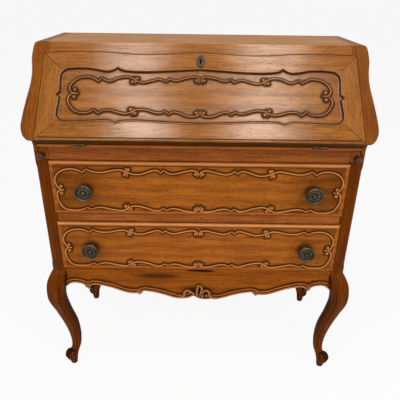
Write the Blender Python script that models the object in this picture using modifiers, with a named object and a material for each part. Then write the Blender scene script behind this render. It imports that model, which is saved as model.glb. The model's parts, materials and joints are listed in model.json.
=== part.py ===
"""Fall-front secretary: a slant-front writing desk on cabriole legs.

Metres, +Z up, front towards -Y. The origin is on the floor under the middle of the case.
Pieces of the case are placed from the front plane of the posts: x to the right, f to the back
and z up. Pieces of the fall front are placed from its hinge axis: x to the right, s up the
slope and n out of the desk.
"""
import math

import bmesh
import bpy
from mathutils import Vector

# Case
CASE_WIDTH = 0.850
CASE_DEPTH = 0.370
DESK_RISE = 0.218
POST_SIZE = 0.037
FRIEZE_HEIGHT = 0.0437
BED_THICKNESS = 0.018
BED_LIP = 0.045
BED_LIP_EDGE = 0.008
WING_THICKNESS = 0.027
TOP_THICKNESS = 0.018
BACK_THICKNESS = 0.012
BACK_RECESS = 0.006
SIDE_PANEL_THICKNESS = 0.0095
SIDE_PANEL_RECESS = 0.001
SIDE_APRON_THICKNESS = 0.024
APRON_THICKNESS = 0.020
BOTTOM_THICKNESS = 0.012
RAIL_DEPTH = 0.030
RUNNER_WIDTH = 0.048
RUNNER_THICKNESS = 0.012

# Legs
LEG_HEIGHT = 0.380
LEG_RING_POINTS = 16
# Height as a share of the leg, then how far the outer and the inner face stand out from the post,
# as shares of the post, then how round the section is, from 0 for square to 1 for a circle.
LEG_SECTIONS = (
    (1.000, 0.000, 0.000, 0.00),
    (0.880, 0.486, 0.081, 0.12),
    (0.725, 0.654, 0.319, 0.28),
    (0.590, 0.324, 0.173, 0.32),
    (0.430, -0.114, -0.141, 0.35),
    (0.285, -0.378, -0.214, 0.42),
    (0.185, -0.378, -0.149, 0.60),
    (0.130, 0.014, 0.000, 0.90),
    (0.080, 0.124, 0.119, 0.95),
    (0.030, -0.108, 0.149, 0.90),
    (0.000, -0.297, 0.176, 0.85),
)

# Apron lower edge, from the leg to the middle: share of the half width, share of the deepest drop
APRON_TOP_ABOVE_LEG = 0.015
APRON_DROP = 0.1165
APRON_EAR = 0.0035
APRON_EAR_DROP = 0.042
APRON_TIP_DROP = 0.074
APRON_RUNS = (
    ((0.974, 0.545), (0.938, 0.524), (0.889, 0.558), (0.843, 0.661)),
    ((0.843, 0.661), (0.812, 0.588), (0.776, 0.575), (0.670, 0.661), (0.540, 0.824), (0.451, 0.829)),
    ((0.451, 0.829), (0.425, 0.777), (0.394, 0.764), (0.296, 0.833), (0.170, 0.974), (0.105, 0.975)),
)
APRON_LEFT_MIDDLE = ((0.105, 0.975), (0.075, 0.960), (0.034, 0.900), (0.015, 0.930), (0.000, 0.962))
APRON_RIGHT_MIDDLE = ((0.105, 0.975), (0.070, 1.000), (0.030, 0.990), (0.000, 0.962))
SIDE_APRON_DROP = 0.072
SIDE_APRON_EAR = 0.004
SIDE_APRON_EAR_DROP = 0.018
SIDE_APRON_RUNS = (
    ((1.000, 0.861), (0.900, 0.708), (0.750, 0.639), (0.560, 0.694), (0.400, 0.861)),
    ((0.400, 0.861), (0.330, 0.764), (0.250, 0.750), (0.130, 0.889), (0.000, 1.000)),
)

# Wings: how far they and the rail above the fall front lie behind its face
FRAME_SETBACK = 0.002
# Wing underside, from the case to the nose: shares of the nose's reach and of its height
WING_UNDERSIDE = ((0.000, 0.37), (0.120, 0.68), (0.250, 0.82), (0.580, 0.875), (0.927, 0.875))
# Wing outer face, from the case up: share of the wing's height, share of its swell
WING_SWELL = 0.0085
WING_FACE = (
    (0.00, 0.00), (0.12, 0.76), (0.21, 0.94), (0.30, 1.00), (0.40, 0.76), (0.50, 0.38), (0.60, -0.06),
    (0.68, -0.16), (0.75, 0.02), (0.80, 0.32), (0.85, 0.57), (0.92, 0.57), (0.97, 0.41), (0.99, 0.10),
    (1.00, -0.50),
)
# Rounded lower end of the wing's front: shares of its width and of the rounding's height
WING_NOSE = 0.040
WING_NOSE_DEPTH = 0.040
WING_NOSE_CURVE = (
    (0.06, 0.000), (0.33, 0.018), (0.53, 0.085), (0.76, 0.290), (0.875, 0.510), (0.960, 0.730),
    (1.00, 1.000),
)

# Fall front
LID_SLOPE = math.radians(47)
LID_THICKNESS = 0.0235
LID_SIDE_GAP = 0.001
LID_STILE_WIDTH = 0.046
LID_BOTTOM_RAIL = 0.0505
LID_TOP_RAIL = 0.0475
LID_RABBET = 0.012
LID_PANEL_RECESS = 0.003
LID_WAVE = 0.0037
LID_WAVE_LENGTH = 0.274
LID_END_DROP = 0.004
LID_CUSP = 0.0085
LID_CORNER = 0.014
TOP_RAIL_HEIGHT = 0.0326
TOP_RAIL_THICKNESS = 0.020
TOP_RAIL_GAP = 0.001

# Hinges of the fall front
HINGE_INSET = 0.102
HINGE_LENGTH = 0.034
HINGE_LEAF = 0.022
HINGE_PLATE = 0.0015
KNUCKLE_RADIUS = 0.0032
PIN_RADIUS = 0.0014
PIN_LENGTH = 0.014

# Lock of the fall front
LOCK_INSET = 0.0005
LOCK_WIDTH = 0.050
LOCK_HEIGHT = 0.026
LOCK_DEPTH = 0.011
BOLT_WIDTH = 0.014
BOLT_THICKNESS = 0.005
BOLT_LENGTH = 0.022
BOLT_THROW = 0.008
ESCUTCHEON_WIDTH = 0.021
ESCUTCHEON_HEIGHT = 0.036
ESCUTCHEON_THICKNESS = 0.002
ESCUTCHEON_DROP = 0.021
KEYHOLE_RADIUS = 0.0028
KEYHOLE_SLOT = 0.0026
KEYHOLE_LENGTH = 0.009

# Lopers
LOPER_LIP_GAP = 0.0014
LOPER_SIDE_GAP = 0.0022
LOPER_BACK_GAP = 0.052
LOPER_GUIDE_WALL = 0.0065
LOPER_GUIDE_DEPTH = 0.022
LOPER_KNOB_RADIUS = 0.010
LOPER_KNOB_STANDOFF = 0.020
LOPER_KNOB_OUT = 0.004
LOPER_KNOB_DROP = 0.004

# Drawers
DRAWER_FRONT_HEIGHT = 0.1535
DRAWER_FRONT_GAP = 0.026
DRAWER_LIP = 0.0045
DRAWER_PROUD = 0.009
DRAWER_FRONT_THICKNESS = 0.023
DRAWER_WALL = 0.012
DRAWER_BOTTOM_THICKNESS = 0.006
DRAWER_BOTTOM_HEIGHT = 0.005
DRAWER_SIDE_DROP = 0.0113
DRAWER_BACK_GAP = 0.0117
KNOB_INSET = 0.0915
KNOB_BELOW_MIDDLE = 0.0038
KNOB_RADIUS = 0.0235
KNOB_STANDOFF = 0.030
KNOB_STEPS = 24

# Writing compartment
SHELF_HEIGHT = 0.072
SHELF_THICKNESS = 0.009
SHELF_DEPTH = 0.150
INNER_BAY = 0.263
DIVIDER_THICKNESS = 0.009
INNER_WALL = 0.008
INNER_KNOB_RADIUS = 0.007
INNER_KNOB_STANDOFF = 0.014

# Clearances: between fixed pieces, between sliding or turning pieces, and under drawers
FIT = 0.0003
RUN = 0.0006
DRAWER_PLAY = 0.0015
CUT_MARGIN = 0.010
WELD = 0.00001
FLAT_ANGLE = 0.001

# Sizes that follow from the ones above, from the floor up
APRON_TOP = LEG_HEIGHT + APRON_TOP_ABOVE_LEG
LOWER_FRONT_BOTTOM = APRON_TOP - DRAWER_LIP
UPPER_FRONT_BOTTOM = LOWER_FRONT_BOTTOM + DRAWER_FRONT_HEIGHT + DRAWER_FRONT_GAP
UPPER_FRONT_TOP = UPPER_FRONT_BOTTOM + DRAWER_FRONT_HEIGHT
FRIEZE_BOTTOM = UPPER_FRONT_TOP - DRAWER_LIP
CASE_TOP = FRIEZE_BOTTOM + FRIEZE_HEIGHT + FIT
BED_TOP = CASE_TOP + BED_THICKNESS
TOTAL_HEIGHT = BED_TOP + DESK_RISE

# Widths and depths
CASE_HALF = CASE_WIDTH / 2
OPENING_HALF = CASE_HALF - POST_SIZE
WING_INNER = CASE_HALF - WING_THICKNESS
SIDE_INNER = CASE_HALF - SIDE_PANEL_RECESS - SIDE_PANEL_THICKNESS
BACK_FRONT = CASE_DEPTH - BACK_RECESS - BACK_THICKNESS
POST_BACK = CASE_DEPTH - POST_SIZE
SHELF_FRONT = BACK_FRONT - FIT - SHELF_DEPTH
DIVIDER_X = WING_INNER - INNER_BAY
DRAWER_HALF = OPENING_HALF + DRAWER_LIP
KNOB_X = DRAWER_HALF - KNOB_INSET
LID_FRONT = -BED_LIP + RUN * math.cos(LID_SLOPE) - LID_THICKNESS * math.sin(LID_SLOPE)
FRONT_PLANE_Y = -(LID_FRONT + CASE_DEPTH) / 2

# Fall front and lopers
LID_LENGTH = (DESK_RISE - LID_THICKNESS * math.cos(LID_SLOPE)) / math.sin(LID_SLOPE) - TOP_RAIL_HEIGHT
LID_HALF = WING_INNER - LID_SIDE_GAP
HINGE_X = LID_HALF - HINGE_INSET
LID_OPENING_HALF = LID_HALF - LID_STILE_WIDTH
LID_OPENING_TOP = LID_LENGTH - LID_TOP_RAIL
LID_PANEL_TOP = LID_OPENING_TOP + LID_RABBET
LID_PANEL_FACE = LID_THICKNESS - LID_PANEL_RECESS
ESCUTCHEON_S = LID_LENGTH - ESCUTCHEON_DROP
LOPER_TOP = BED_TOP - LID_THICKNESS - RUN
LOPER_BOTTOM = UPPER_FRONT_TOP + LOPER_LIP_GAP
LOPER_INNER = OPENING_HALF + FIT
LOPER_OUTER = SIDE_INNER - LOPER_SIDE_GAP

# How an outline drawn in x and y is turned: f and z upright, or x and z facing the front
PROFILE_TURN = (math.radians(90), 0, math.radians(90))
FRONT_TURN = (math.radians(90), 0, 0)

WALNUT = ((0.33, 0.145, 0.048), 0.42, 0.0)
DARK_WALNUT = ((0.21, 0.082, 0.028), 0.45, 0.0)
OAK = ((0.42, 0.27, 0.13), 0.55, 0.0)
BRONZE = ((0.085, 0.078, 0.055), 0.45, 0.9)
BRASS = ((0.55, 0.42, 0.22), 0.35, 1.0)
STEEL = ((0.42, 0.41, 0.39), 0.38, 1.0)
KNOB_WOOD = ((0.10, 0.055, 0.028), 0.40, 0.0)


def clear_scene():
    for old in list(bpy.data.objects):
        bpy.data.objects.remove(old, do_unlink=True)


def collection(name):
    group = bpy.data.collections.new(name)
    bpy.context.scene.collection.children.link(group)
    return group


clear_scene()
PARTS = collection("fall_front_secretary")
CUTTERS = collection("cutters")


def frame(name, location, parent=None, turn=(0, 0, 0)):
    """An empty that carries the pieces of one body."""
    empty = bpy.data.objects.new(name, None)
    PARTS.objects.link(empty)
    empty.parent = parent
    empty.location = location
    empty.rotation_euler = turn
    return empty


def material(name, finish):
    colour, roughness, metallic = finish
    made = bpy.data.materials.new(name)
    made.use_nodes = True
    shader = made.node_tree.nodes["Principled BSDF"]
    shader.inputs["Base Color"].default_value = (*colour, 1.0)
    shader.inputs["Roughness"].default_value = roughness
    shader.inputs["Metallic"].default_value = metallic
    return made


def place(mesh, name, parent, finish, location=(0, 0, 0), turn=(0, 0, 0)):
    """Put a mesh in the model as a piece, or as a cutter where it has no finish."""
    piece = bpy.data.objects.new(name, mesh)
    piece.parent = parent
    piece.location = location
    piece.rotation_euler = turn
    if finish:
        PARTS.objects.link(piece)
        mesh.materials.append(material(name + "_finish", finish))
    else:
        CUTTERS.objects.link(piece)
        piece.hide_render = True
        piece.display_type = "WIRE"
    return piece


def mesh_from(bm, name):
    bmesh.ops.recalc_face_normals(bm, faces=bm.faces)
    mesh = bpy.data.meshes.new(name)
    bm.to_mesh(mesh)
    bm.free()
    return mesh


def block(name, low, high, parent, finish=None):
    """A box between two corners."""
    low, high = Vector(low), Vector(high)
    bm = bmesh.new()
    bmesh.ops.create_cube(bm, size=1.0)
    bmesh.ops.scale(bm, vec=high - low, verts=bm.verts)
    return place(mesh_from(bm, name), name, parent, finish, (low + high) / 2)


def rod(name, start, length, radius, parent, finish=None, turn=(0, math.radians(90), 0), sides=20):
    """A cylinder from start, along x unless it is turned."""
    bm = bmesh.new()
    bmesh.ops.create_cone(bm, cap_ends=True, segments=sides, radius1=radius, radius2=radius, depth=length)
    bmesh.ops.translate(bm, vec=(0, 0, length / 2), verts=bm.verts)
    for face in bm.faces:
        face.smooth = len(face.verts) == 4
    return place(mesh_from(bm, name), name, parent, finish, start, turn)


def plate(name, outline, thickness, parent, finish, location=(0, 0, 0), turn=(0, 0, 0)):
    """A flat outline with a thickness, centred on its location."""
    curve = bpy.data.curves.new(name, "CURVE")
    curve.dimensions = "2D"
    curve.fill_mode = "BOTH"
    curve.extrude = thickness / 2
    line = curve.splines.new("POLY")
    line.points.add(len(outline) - 1)
    for point, (across, up) in zip(line.points, outline):
        point.co = (across, up, 0, 1)
    line.use_cyclic_u = True
    carrier = bpy.data.objects.new(name, curve)
    PARTS.objects.link(carrier)
    solid = bpy.data.meshes.new_from_object(carrier.evaluated_get(bpy.context.evaluated_depsgraph_get()))
    bpy.data.objects.remove(carrier)
    bm = bmesh.new()
    bm.from_mesh(solid)
    bmesh.ops.remove_doubles(bm, verts=bm.verts, dist=WELD)
    bmesh.ops.dissolve_limit(bm, angle_limit=FLAT_ANGLE, verts=bm.verts, edges=bm.edges)
    return place(mesh_from(bm, name), name, parent, finish, location, turn)


def turned(name, profile, location, parent, finish, steps=KNOB_STEPS):
    """A turned piece whose axis points to the front; the profile is radius and distance out."""
    bm = bmesh.new()
    corners = [bm.verts.new((radius, 0, out)) for radius, out in profile]
    for upper, lower in zip(corners, corners[1:]):
        bm.edges.new((upper, lower))
    mesh = bpy.data.meshes.new(name)
    bm.to_mesh(mesh)
    bm.free()
    piece = place(mesh, name, parent, finish, location, FRONT_TURN)
    screw = piece.modifiers.new("turning", "SCREW")
    screw.steps = steps
    screw.render_steps = steps
    screw.use_merge_vertices = True
    screw.merge_threshold = WELD
    screw.use_normal_calculate = True
    return piece


def boolean(piece, tool, operation="DIFFERENCE"):
    change = piece.modifiers.new(tool.name, "BOOLEAN")
    change.operation = operation
    change.object = tool
    return piece


def smooth(points, steps=4):
    """A smooth line through the points, with both ends kept."""
    padded = [points[0], *points, points[-1]]
    line = []
    for before, start, end, after in zip(padded, padded[1:], padded[2:], padded[3:]):
        for step in range(steps):
            t = step / steps
            line.append(tuple(
                0.5 * (2 * b + (c - a) * t + (2 * a - 5 * b + 4 * c - d) * t ** 2
                       + (3 * b - a - 3 * c + d) * t ** 3)
                for a, b, c, d in zip(before, start, end, after)))
    return line + [tuple(points[-1])]


def chain(*runs):
    """Lines joined end to end, without the doubled points between them."""
    line = []
    for run in runs:
        for point in run:
            if not line or math.dist(line[-1], point) > WELD:
                line.append(point)
    return line


def mirrored(line):
    """A half outline that ends on the middle line, with its other half."""
    return chain(line, [(-across, up) for across, up in reversed(line)])


CASE = frame("case", (0, FRONT_PLANE_Y, 0))
SLOPE_TURN = (LID_SLOPE, 0, 0)
SLOPE = frame("slope", (0, -BED_LIP, BED_TOP), CASE, SLOPE_TURN)
LID = frame("fall_front_axis", (0, -BED_LIP, BED_TOP), CASE, SLOPE_TURN)
SIDES = (("left", -1), ("right", 1))


def span(side, inner, outer):
    """Low and high x of something on one side of the middle."""
    return (inner, outer) if side > 0 else (-outer, -inner)


def leg(name, side, rear):
    """A straight post that runs down into a cabriole leg with a scrolled foot."""
    sections = [(share * LEG_HEIGHT, outer * POST_SIZE, inner * POST_SIZE, roundness)
                for share, outer, inner, roundness in smooth(LEG_SECTIONS, 3)]
    bm = bmesh.new()
    rings = []
    for level, outer, inner, roundness in [(CASE_TOP - FIT, *sections[0][1:]), *sections]:
        half = (POST_SIZE + outer - inner) / 2
        middle = CASE_HALF - POST_SIZE / 2 + (outer + inner) / 2
        half_depth = min(half, POST_SIZE / 2) if rear else half
        depth_middle = CASE_DEPTH - POST_SIZE / 2 if rear else POST_SIZE / 2 - (outer + inner) / 2
        ring = []
        for point in range(LEG_RING_POINTS):
            angle = 2 * math.pi * point / LEG_RING_POINTS
            across, along = math.cos(angle), math.sin(angle)
            reach = roundness + (1 - roundness) / max(abs(across), abs(along))
            x = side * (middle + half * reach * across)
            ring.append(bm.verts.new((x, depth_middle + half_depth * reach * along, level)))
        rings.append(ring)
    for upper, lower in zip(rings, rings[1:]):
        for point in range(LEG_RING_POINTS):
            following = (point + 1) % LEG_RING_POINTS
            side_face = bm.faces.new((upper[point], upper[following], lower[following], lower[point]))
            side_face.smooth = upper is not rings[0]
    bm.faces.new(rings[0])
    bm.faces.new(rings[-1])
    return place(mesh_from(bm, name), name, CASE, DARK_WALNUT)


def build_legs():
    for label, side in SIDES:
        front = leg(f"front_{label}_leg", side, rear=False)
        low, high = span(side, OPENING_HALF - CUT_MARGIN, LOPER_OUTER + RUN)
        mortise = block(f"{label}_loper_mortise",
                        (low, -CUT_MARGIN, LOPER_BOTTOM - RUN),
                        (high, POST_SIZE + CUT_MARGIN, LOPER_TOP + RUN), CASE)
        boolean(front, mortise)
        leg(f"rear_{label}_leg", side, rear=True)


def build_front_frame():
    half = OPENING_HALF - FIT
    ear = [(half, APRON_TOP), (half, APRON_TOP - APRON_EAR_DROP),
           (half + APRON_EAR, APRON_TOP - APRON_TIP_DROP)]
    edges = []
    for middle in (APRON_RIGHT_MIDDLE, APRON_LEFT_MIDDLE):
        runs = [smooth([(share * half, APRON_TOP - drop * APRON_DROP) for share, drop in run])
                for run in (*APRON_RUNS, middle)]
        edges.append(chain(ear, *runs))
    outline = chain(edges[0], [(-across, up) for across, up in reversed(edges[1])])
    plate("front_apron", outline, APRON_THICKNESS, CASE, WALNUT, (0, APRON_THICKNESS / 2, 0), FRONT_TURN)
    block("drawer_divider_rail",
          (-half, 0, LOWER_FRONT_BOTTOM + DRAWER_FRONT_HEIGHT - DRAWER_LIP),
          (half, RAIL_DEPTH, UPPER_FRONT_BOTTOM + DRAWER_LIP), CASE, DARK_WALNUT)
    block("frieze_rail", (-half, 0, FRIEZE_BOTTOM), (half, RAIL_DEPTH, CASE_TOP - FIT), CASE, DARK_WALNUT)


def build_sides():
    front, back = POST_SIZE + FIT, POST_BACK - FIT
    floor = APRON_TOP - BOTTOM_THICKNESS
    middle = (front + back) / 2
    half = (back - front) / 2
    outer = CASE_HALF - SIDE_PANEL_RECESS
    for label, side in SIDES:
        low, high = span(side, SIDE_INNER, outer)
        block(f"{label}_side_panel", (low, front, floor), (high, back, CASE_TOP - FIT), CASE, WALNUT)
        top = floor - FIT
        runs = [smooth([(share * half, top - drop * SIDE_APRON_DROP) for share, drop in run])
                for run in SIDE_APRON_RUNS]
        edge = mirrored(chain(*runs))
        ear = [(-half - SIDE_APRON_EAR, edge[-1][1]), (-half, top - SIDE_APRON_EAR_DROP), (-half, top)]
        plate(f"{label}_side_apron", chain([(half, top)], edge[:-1], ear), SIDE_APRON_THICKNESS, CASE,
              WALNUT, (side * (outer - SIDE_APRON_THICKNESS / 2), middle, 0), PROFILE_TURN)
        low, high = span(side, SIDE_INNER - FIT - RUNNER_WIDTH, SIDE_INNER - FIT)
        runner_top = UPPER_FRONT_BOTTOM + DRAWER_LIP
        block(f"{label}_drawer_runner", (low, front, runner_top - RUNNER_THICKNESS),
              (high, back, runner_top), CASE, OAK)


def build_floor_and_back():
    wide, narrow = SIDE_INNER - FIT, OPENING_HALF - FIT
    front, back = APRON_THICKNESS + FIT, BACK_FRONT - FIT
    post_front, post_back = POST_SIZE + FIT, POST_BACK - FIT
    corner = [(narrow, front), (narrow, post_front), (wide, post_front), (wide, post_back),
              (narrow, post_back), (narrow, back)]
    outline = corner + [(-across, along) for across, along in reversed(corner)]
    plate("bottom_board", outline, BOTTOM_THICKNESS, CASE, OAK, (0, 0, APRON_TOP - BOTTOM_THICKNESS / 2))
    upper = WING_INNER - FIT
    corner = [(narrow, LEG_HEIGHT), (narrow, CASE_TOP), (upper, CASE_TOP),
              (upper, TOTAL_HEIGHT - TOP_THICKNESS - FIT)]
    outline = corner + [(-across, high) for across, high in reversed(corner)]
    plate("back_panel", outline, BACK_THICKNESS, CASE, OAK,
          (0, BACK_FRONT + BACK_THICKNESS / 2, 0), FRONT_TURN)


def slope_point(s, n):
    """f and z of a point on the fall front's section."""
    return (-BED_LIP + s * math.cos(LID_SLOPE) - n * math.sin(LID_SLOPE),
            BED_TOP + s * math.sin(LID_SLOPE) + n * math.cos(LID_SLOPE))


def slope_f_at(z, n):
    """f where a line parallel to the fall front, n out from its inner face, reaches a height."""
    s = (z - BED_TOP - n * math.cos(LID_SLOPE)) / math.sin(LID_SLOPE)
    return slope_point(s, n)[0]


def build_wings():
    """Side boards of the slope: the outer faces swell and the front ends are rounded below."""
    face = LID_THICKNESS - FRAME_SETBACK
    nose_f, nose_z = slope_point(0, face)
    under = [(reach * nose_f, CASE_TOP + rise * (nose_z - CASE_TOP)) for reach, rise in WING_UNDERSIDE]
    outline = chain([(0, CASE_TOP)], smooth(under),
                    [(nose_f, nose_z), (slope_f_at(TOTAL_HEIGHT, face), TOTAL_HEIGHT),
                     (CASE_DEPTH, TOTAL_HEIGHT), (CASE_DEPTH, CASE_TOP)])
    outer = CASE_HALF + WING_SWELL
    width = outer - WING_INNER
    beyond = outer + CUT_MARGIN
    above, below = TOTAL_HEIGHT + CUT_MARGIN, CASE_TOP - CUT_MARGIN
    swell = smooth([(CASE_HALF + out * WING_SWELL, CASE_TOP + share * (TOTAL_HEIGHT - CASE_TOP))
                    for share, out in WING_FACE])
    swell = chain([(beyond, below), (CASE_HALF, below)], swell, [(swell[-1][0], above), (beyond, above)])
    nose = smooth([(WING_INNER + across * width, up * WING_NOSE) for across, up in WING_NOSE_CURVE])
    nose = chain([(nose[0][0], -CUT_MARGIN)], nose, [(beyond, WING_NOSE), (beyond, -CUT_MARGIN)])
    for label, side in SIDES:
        wing = plate(f"{label}_wing", outline, width, CASE, WALNUT,
                     (side * (outer + WING_INNER) / 2, 0, 0), PROFILE_TURN)
        boolean(wing, plate(f"{label}_wing_swell", [(side * x, z) for x, z in swell], 3 * CASE_DEPTH,
                            CASE, None, (0, CASE_DEPTH / 2, 0), FRONT_TURN))
        boolean(wing, plate(f"{label}_wing_nose", [(side * x, s) for x, s in nose],
                            WING_NOSE_DEPTH + face + CUT_MARGIN, SLOPE, None,
                            (0, 0, (face + CUT_MARGIN - WING_NOSE_DEPTH) / 2)))


def build_desk_top():
    half = WING_INNER - FIT
    under = TOTAL_HEIGHT - TOP_THICKNESS
    behind_rail = LID_THICKNESS - FRAME_SETBACK - TOP_RAIL_THICKNESS - FIT
    outline = [(slope_f_at(under, behind_rail), under), (CASE_DEPTH, under),
               (CASE_DEPTH, TOTAL_HEIGHT), (slope_f_at(TOTAL_HEIGHT, behind_rail), TOTAL_HEIGHT)]
    plate("top_board", outline, 2 * half, CASE, WALNUT, (0, 0, 0), PROFILE_TURN)
    outline = [(RUN - BED_LIP, BED_TOP), (RUN - BED_LIP, BED_TOP - BED_LIP_EDGE), (0, CASE_TOP),
               (BACK_FRONT - FIT, CASE_TOP), (BACK_FRONT - FIT, BED_TOP)]
    bed = plate("desk_bed", outline, 2 * half, CASE, DARK_WALNUT, (0, 0, 0), PROFILE_TURN)
    for label, side in SIDES:
        boolean(bed, HINGE_CUTS[f"{label}_bed"])
        boolean(bed, HINGE_CUTS[f"{label}_knuckle"])


def lid_top_edge(x):
    """Height up the slope of the waved top edge of the fall front."""
    if abs(x) > LID_WAVE_LENGTH:
        beyond = (abs(x) - LID_WAVE_LENGTH) / (WING_INNER - LID_WAVE_LENGTH)
        return LID_LENGTH + LID_WAVE - LID_END_DROP * beyond ** 2
    return LID_LENGTH + LID_WAVE * math.cos(2 * math.pi * x / LID_WAVE_LENGTH)


def wave_line(half, lift):
    """The waved edge from the right end to the left one."""
    steps = 48
    across = [half - 2 * half * step / steps for step in range(steps + 1)]
    return [(x, lid_top_edge(x) + lift) for x in across]


def lid_inner_edges():
    """Right half of the shaped opening: its bottom, side and top runs, from the middle round."""
    half, low, high = LID_OPENING_HALF, LID_BOTTOM_RAIL, LID_OPENING_TOP
    cusp, corner = LID_CUSP, LID_CORNER
    middle = (low + high) / 2
    low_corner = (half - corner * 0.25, low + corner * 0.25)
    high_corner = (half - corner * 0.25, high - corner * 0.25)
    bottom = chain(
        smooth([(0, low - cusp * 0.35), (half * 0.20, low), (half * 0.42, low + cusp * 0.45),
                (half * 0.54, low + cusp * 0.3), (half * 0.582, low - cusp * 0.4)]),
        smooth([(half * 0.582, low - cusp * 0.4), (half * 0.65, low + cusp * 0.45),
                (half * 0.80, low + cusp * 0.1), (half - corner, low - cusp * 0.3), low_corner]))
    side = chain(
        smooth([low_corner, (half, low + corner), (half - cusp * 0.3, middle - cusp)]),
        smooth([(half - cusp * 0.3, middle - cusp), (half + cusp * 0.7, middle)], 2),
        smooth([(half + cusp * 0.7, middle), (half - cusp * 0.3, middle + cusp)], 2),
        smooth([(half - cusp * 0.3, middle + cusp), (half, high - corner), high_corner]))
    top = chain(
        smooth([high_corner, (half - corner, high + cusp * 0.5), (half * 0.80, high + cusp * 0.4),
                (half * 0.66, high - cusp * 0.55), (half * 0.59, high + cusp * 0.8)]),
        smooth([(half * 0.59, high + cusp * 0.8), (half * 0.55, high - cusp * 0.2),
                (half * 0.42, high - cusp * 0.65), (half * 0.20, high - cusp * 0.2),
                (0, high + cusp * 0.4)]))
    return bottom, side, top


def build_lid():
    bottom, side_run, top = lid_inner_edges()
    low_corner, high_corner = side_run[0], side_run[-1]
    half = LID_HALF
    upper = lid_top_edge(half)
    centre = LID_THICKNESS / 2
    rail_top = plate("lid_top_rail", chain(wave_line(half, 0), mirrored(top)[::-1]), LID_THICKNESS, LID,
                     WALNUT, (0, 0, centre))
    outline = chain([(half, RUN), (-half, RUN)], mirrored(bottom[::-1])[::-1])
    rail_bottom = plate("lid_bottom_rail", outline, LID_THICKNESS, LID, WALNUT, (0, 0, centre))
    rabbet = block("lid_rabbet",
                   (-LID_OPENING_HALF - LID_RABBET - FIT, LID_BOTTOM_RAIL - LID_RABBET - FIT, -CUT_MARGIN),
                   (LID_OPENING_HALF + LID_RABBET + FIT, LID_PANEL_TOP + FIT, LID_PANEL_FACE + FIT), LID)
    mitre = 2 * FIT
    for label, side in SIDES:
        inner = [(low_corner[0], low_corner[1] + mitre), *side_run[1:-1],
                 (high_corner[0], high_corner[1] - mitre)]
        outline = chain([(half, RUN + mitre)], inner, [(half, upper - mitre)])
        stile = plate(f"lid_{label}_stile", [(side * x, s) for x, s in outline], LID_THICKNESS, LID,
                      WALNUT, (0, 0, centre))
        boolean(stile, rabbet)
        boolean(rail_bottom, HINGE_CUTS[f"{label}_lid"])
        boolean(rail_bottom, HINGE_CUTS[f"{label}_knuckle"])
    boolean(rail_top, rabbet)
    boolean(rail_bottom, rabbet)
    block("lid_panel", (-LID_OPENING_HALF - LID_RABBET, LID_BOTTOM_RAIL - LID_RABBET, FIT),
          (LID_OPENING_HALF + LID_RABBET, LID_PANEL_TOP, LID_PANEL_FACE), LID, WALNUT)
    return rail_top


def hinge_cuts():
    """Recesses for the hinge leaves and knuckles, in the bed and in the fall front."""
    cuts = {}
    half = HINGE_LENGTH / 2 + FIT
    depth = HINGE_PLATE + 2 * FIT
    reach = HINGE_LEAF + FIT
    for label, side in SIDES:
        low, high = side * HINGE_X - half, side * HINGE_X + half
        cuts[f"{label}_bed"] = block(f"{label}_bed_recess", (low, -BED_LIP - CUT_MARGIN, BED_TOP - depth),
                                     (high, -BED_LIP + reach, BED_TOP + CUT_MARGIN), CASE)
        cuts[f"{label}_lid"] = block(f"{label}_lid_recess", (low, -CUT_MARGIN, -CUT_MARGIN),
                                     (high, reach, depth), LID)
        cuts[f"{label}_knuckle"] = rod(f"{label}_knuckle_recess", (low, 0, 0), high - low,
                                       KNUCKLE_RADIUS + RUN, SLOPE)
    return cuts


def build_hinges():
    """Each hinge has a leaf let into the bed, with the pin, and a leaf let into the fall front."""
    half = HINGE_LENGTH / 2
    setback = KNUCKLE_RADIUS + RUN
    for label, side in SIDES:
        x = side * HINGE_X
        under = BED_TOP - FIT - HINGE_PLATE
        leaf = block(f"{label}_hinge_bed_leaf", (x - half, setback - BED_LIP, under),
                     (x + half, HINGE_LEAF - BED_LIP, BED_TOP - FIT), CASE, BRASS)
        tongue = block(f"{label}_bed_tongue", (x - half, -BED_LIP, under),
                       (x - FIT, setback - BED_LIP + RUN, BED_TOP - FIT), CASE)
        knuckle = rod(f"{label}_bed_knuckle", (x - half, 0, 0), half - FIT, KNUCKLE_RADIUS, SLOPE)
        pin = rod(f"{label}_hinge_pin", (x - half / 2, 0, 0), half / 2 + PIN_LENGTH, PIN_RADIUS, SLOPE,
                  sides=12)
        for added in (tongue, knuckle, pin):
            boolean(leaf, added, "UNION")
        leaf = block(f"{label}_hinge_lid_leaf", (x - half, setback, FIT),
                     (x + half, HINGE_LEAF, FIT + HINGE_PLATE), LID, BRASS)
        tongue = block(f"{label}_lid_tongue", (x + FIT, 0, FIT),
                       (x + half, setback + RUN, FIT + HINGE_PLATE), LID)
        knuckle = rod(f"{label}_lid_knuckle", (x + FIT, 0, 0), half - FIT, KNUCKLE_RADIUS, LID)
        bore = rod(f"{label}_knuckle_bore", (x - CUT_MARGIN, 0, 0), half + 2 * CUT_MARGIN, PIN_RADIUS + FIT,
                   LID, sides=12)
        for added in (tongue, knuckle):
            boolean(leaf, added, "UNION")
        boolean(leaf, bore)


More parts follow.
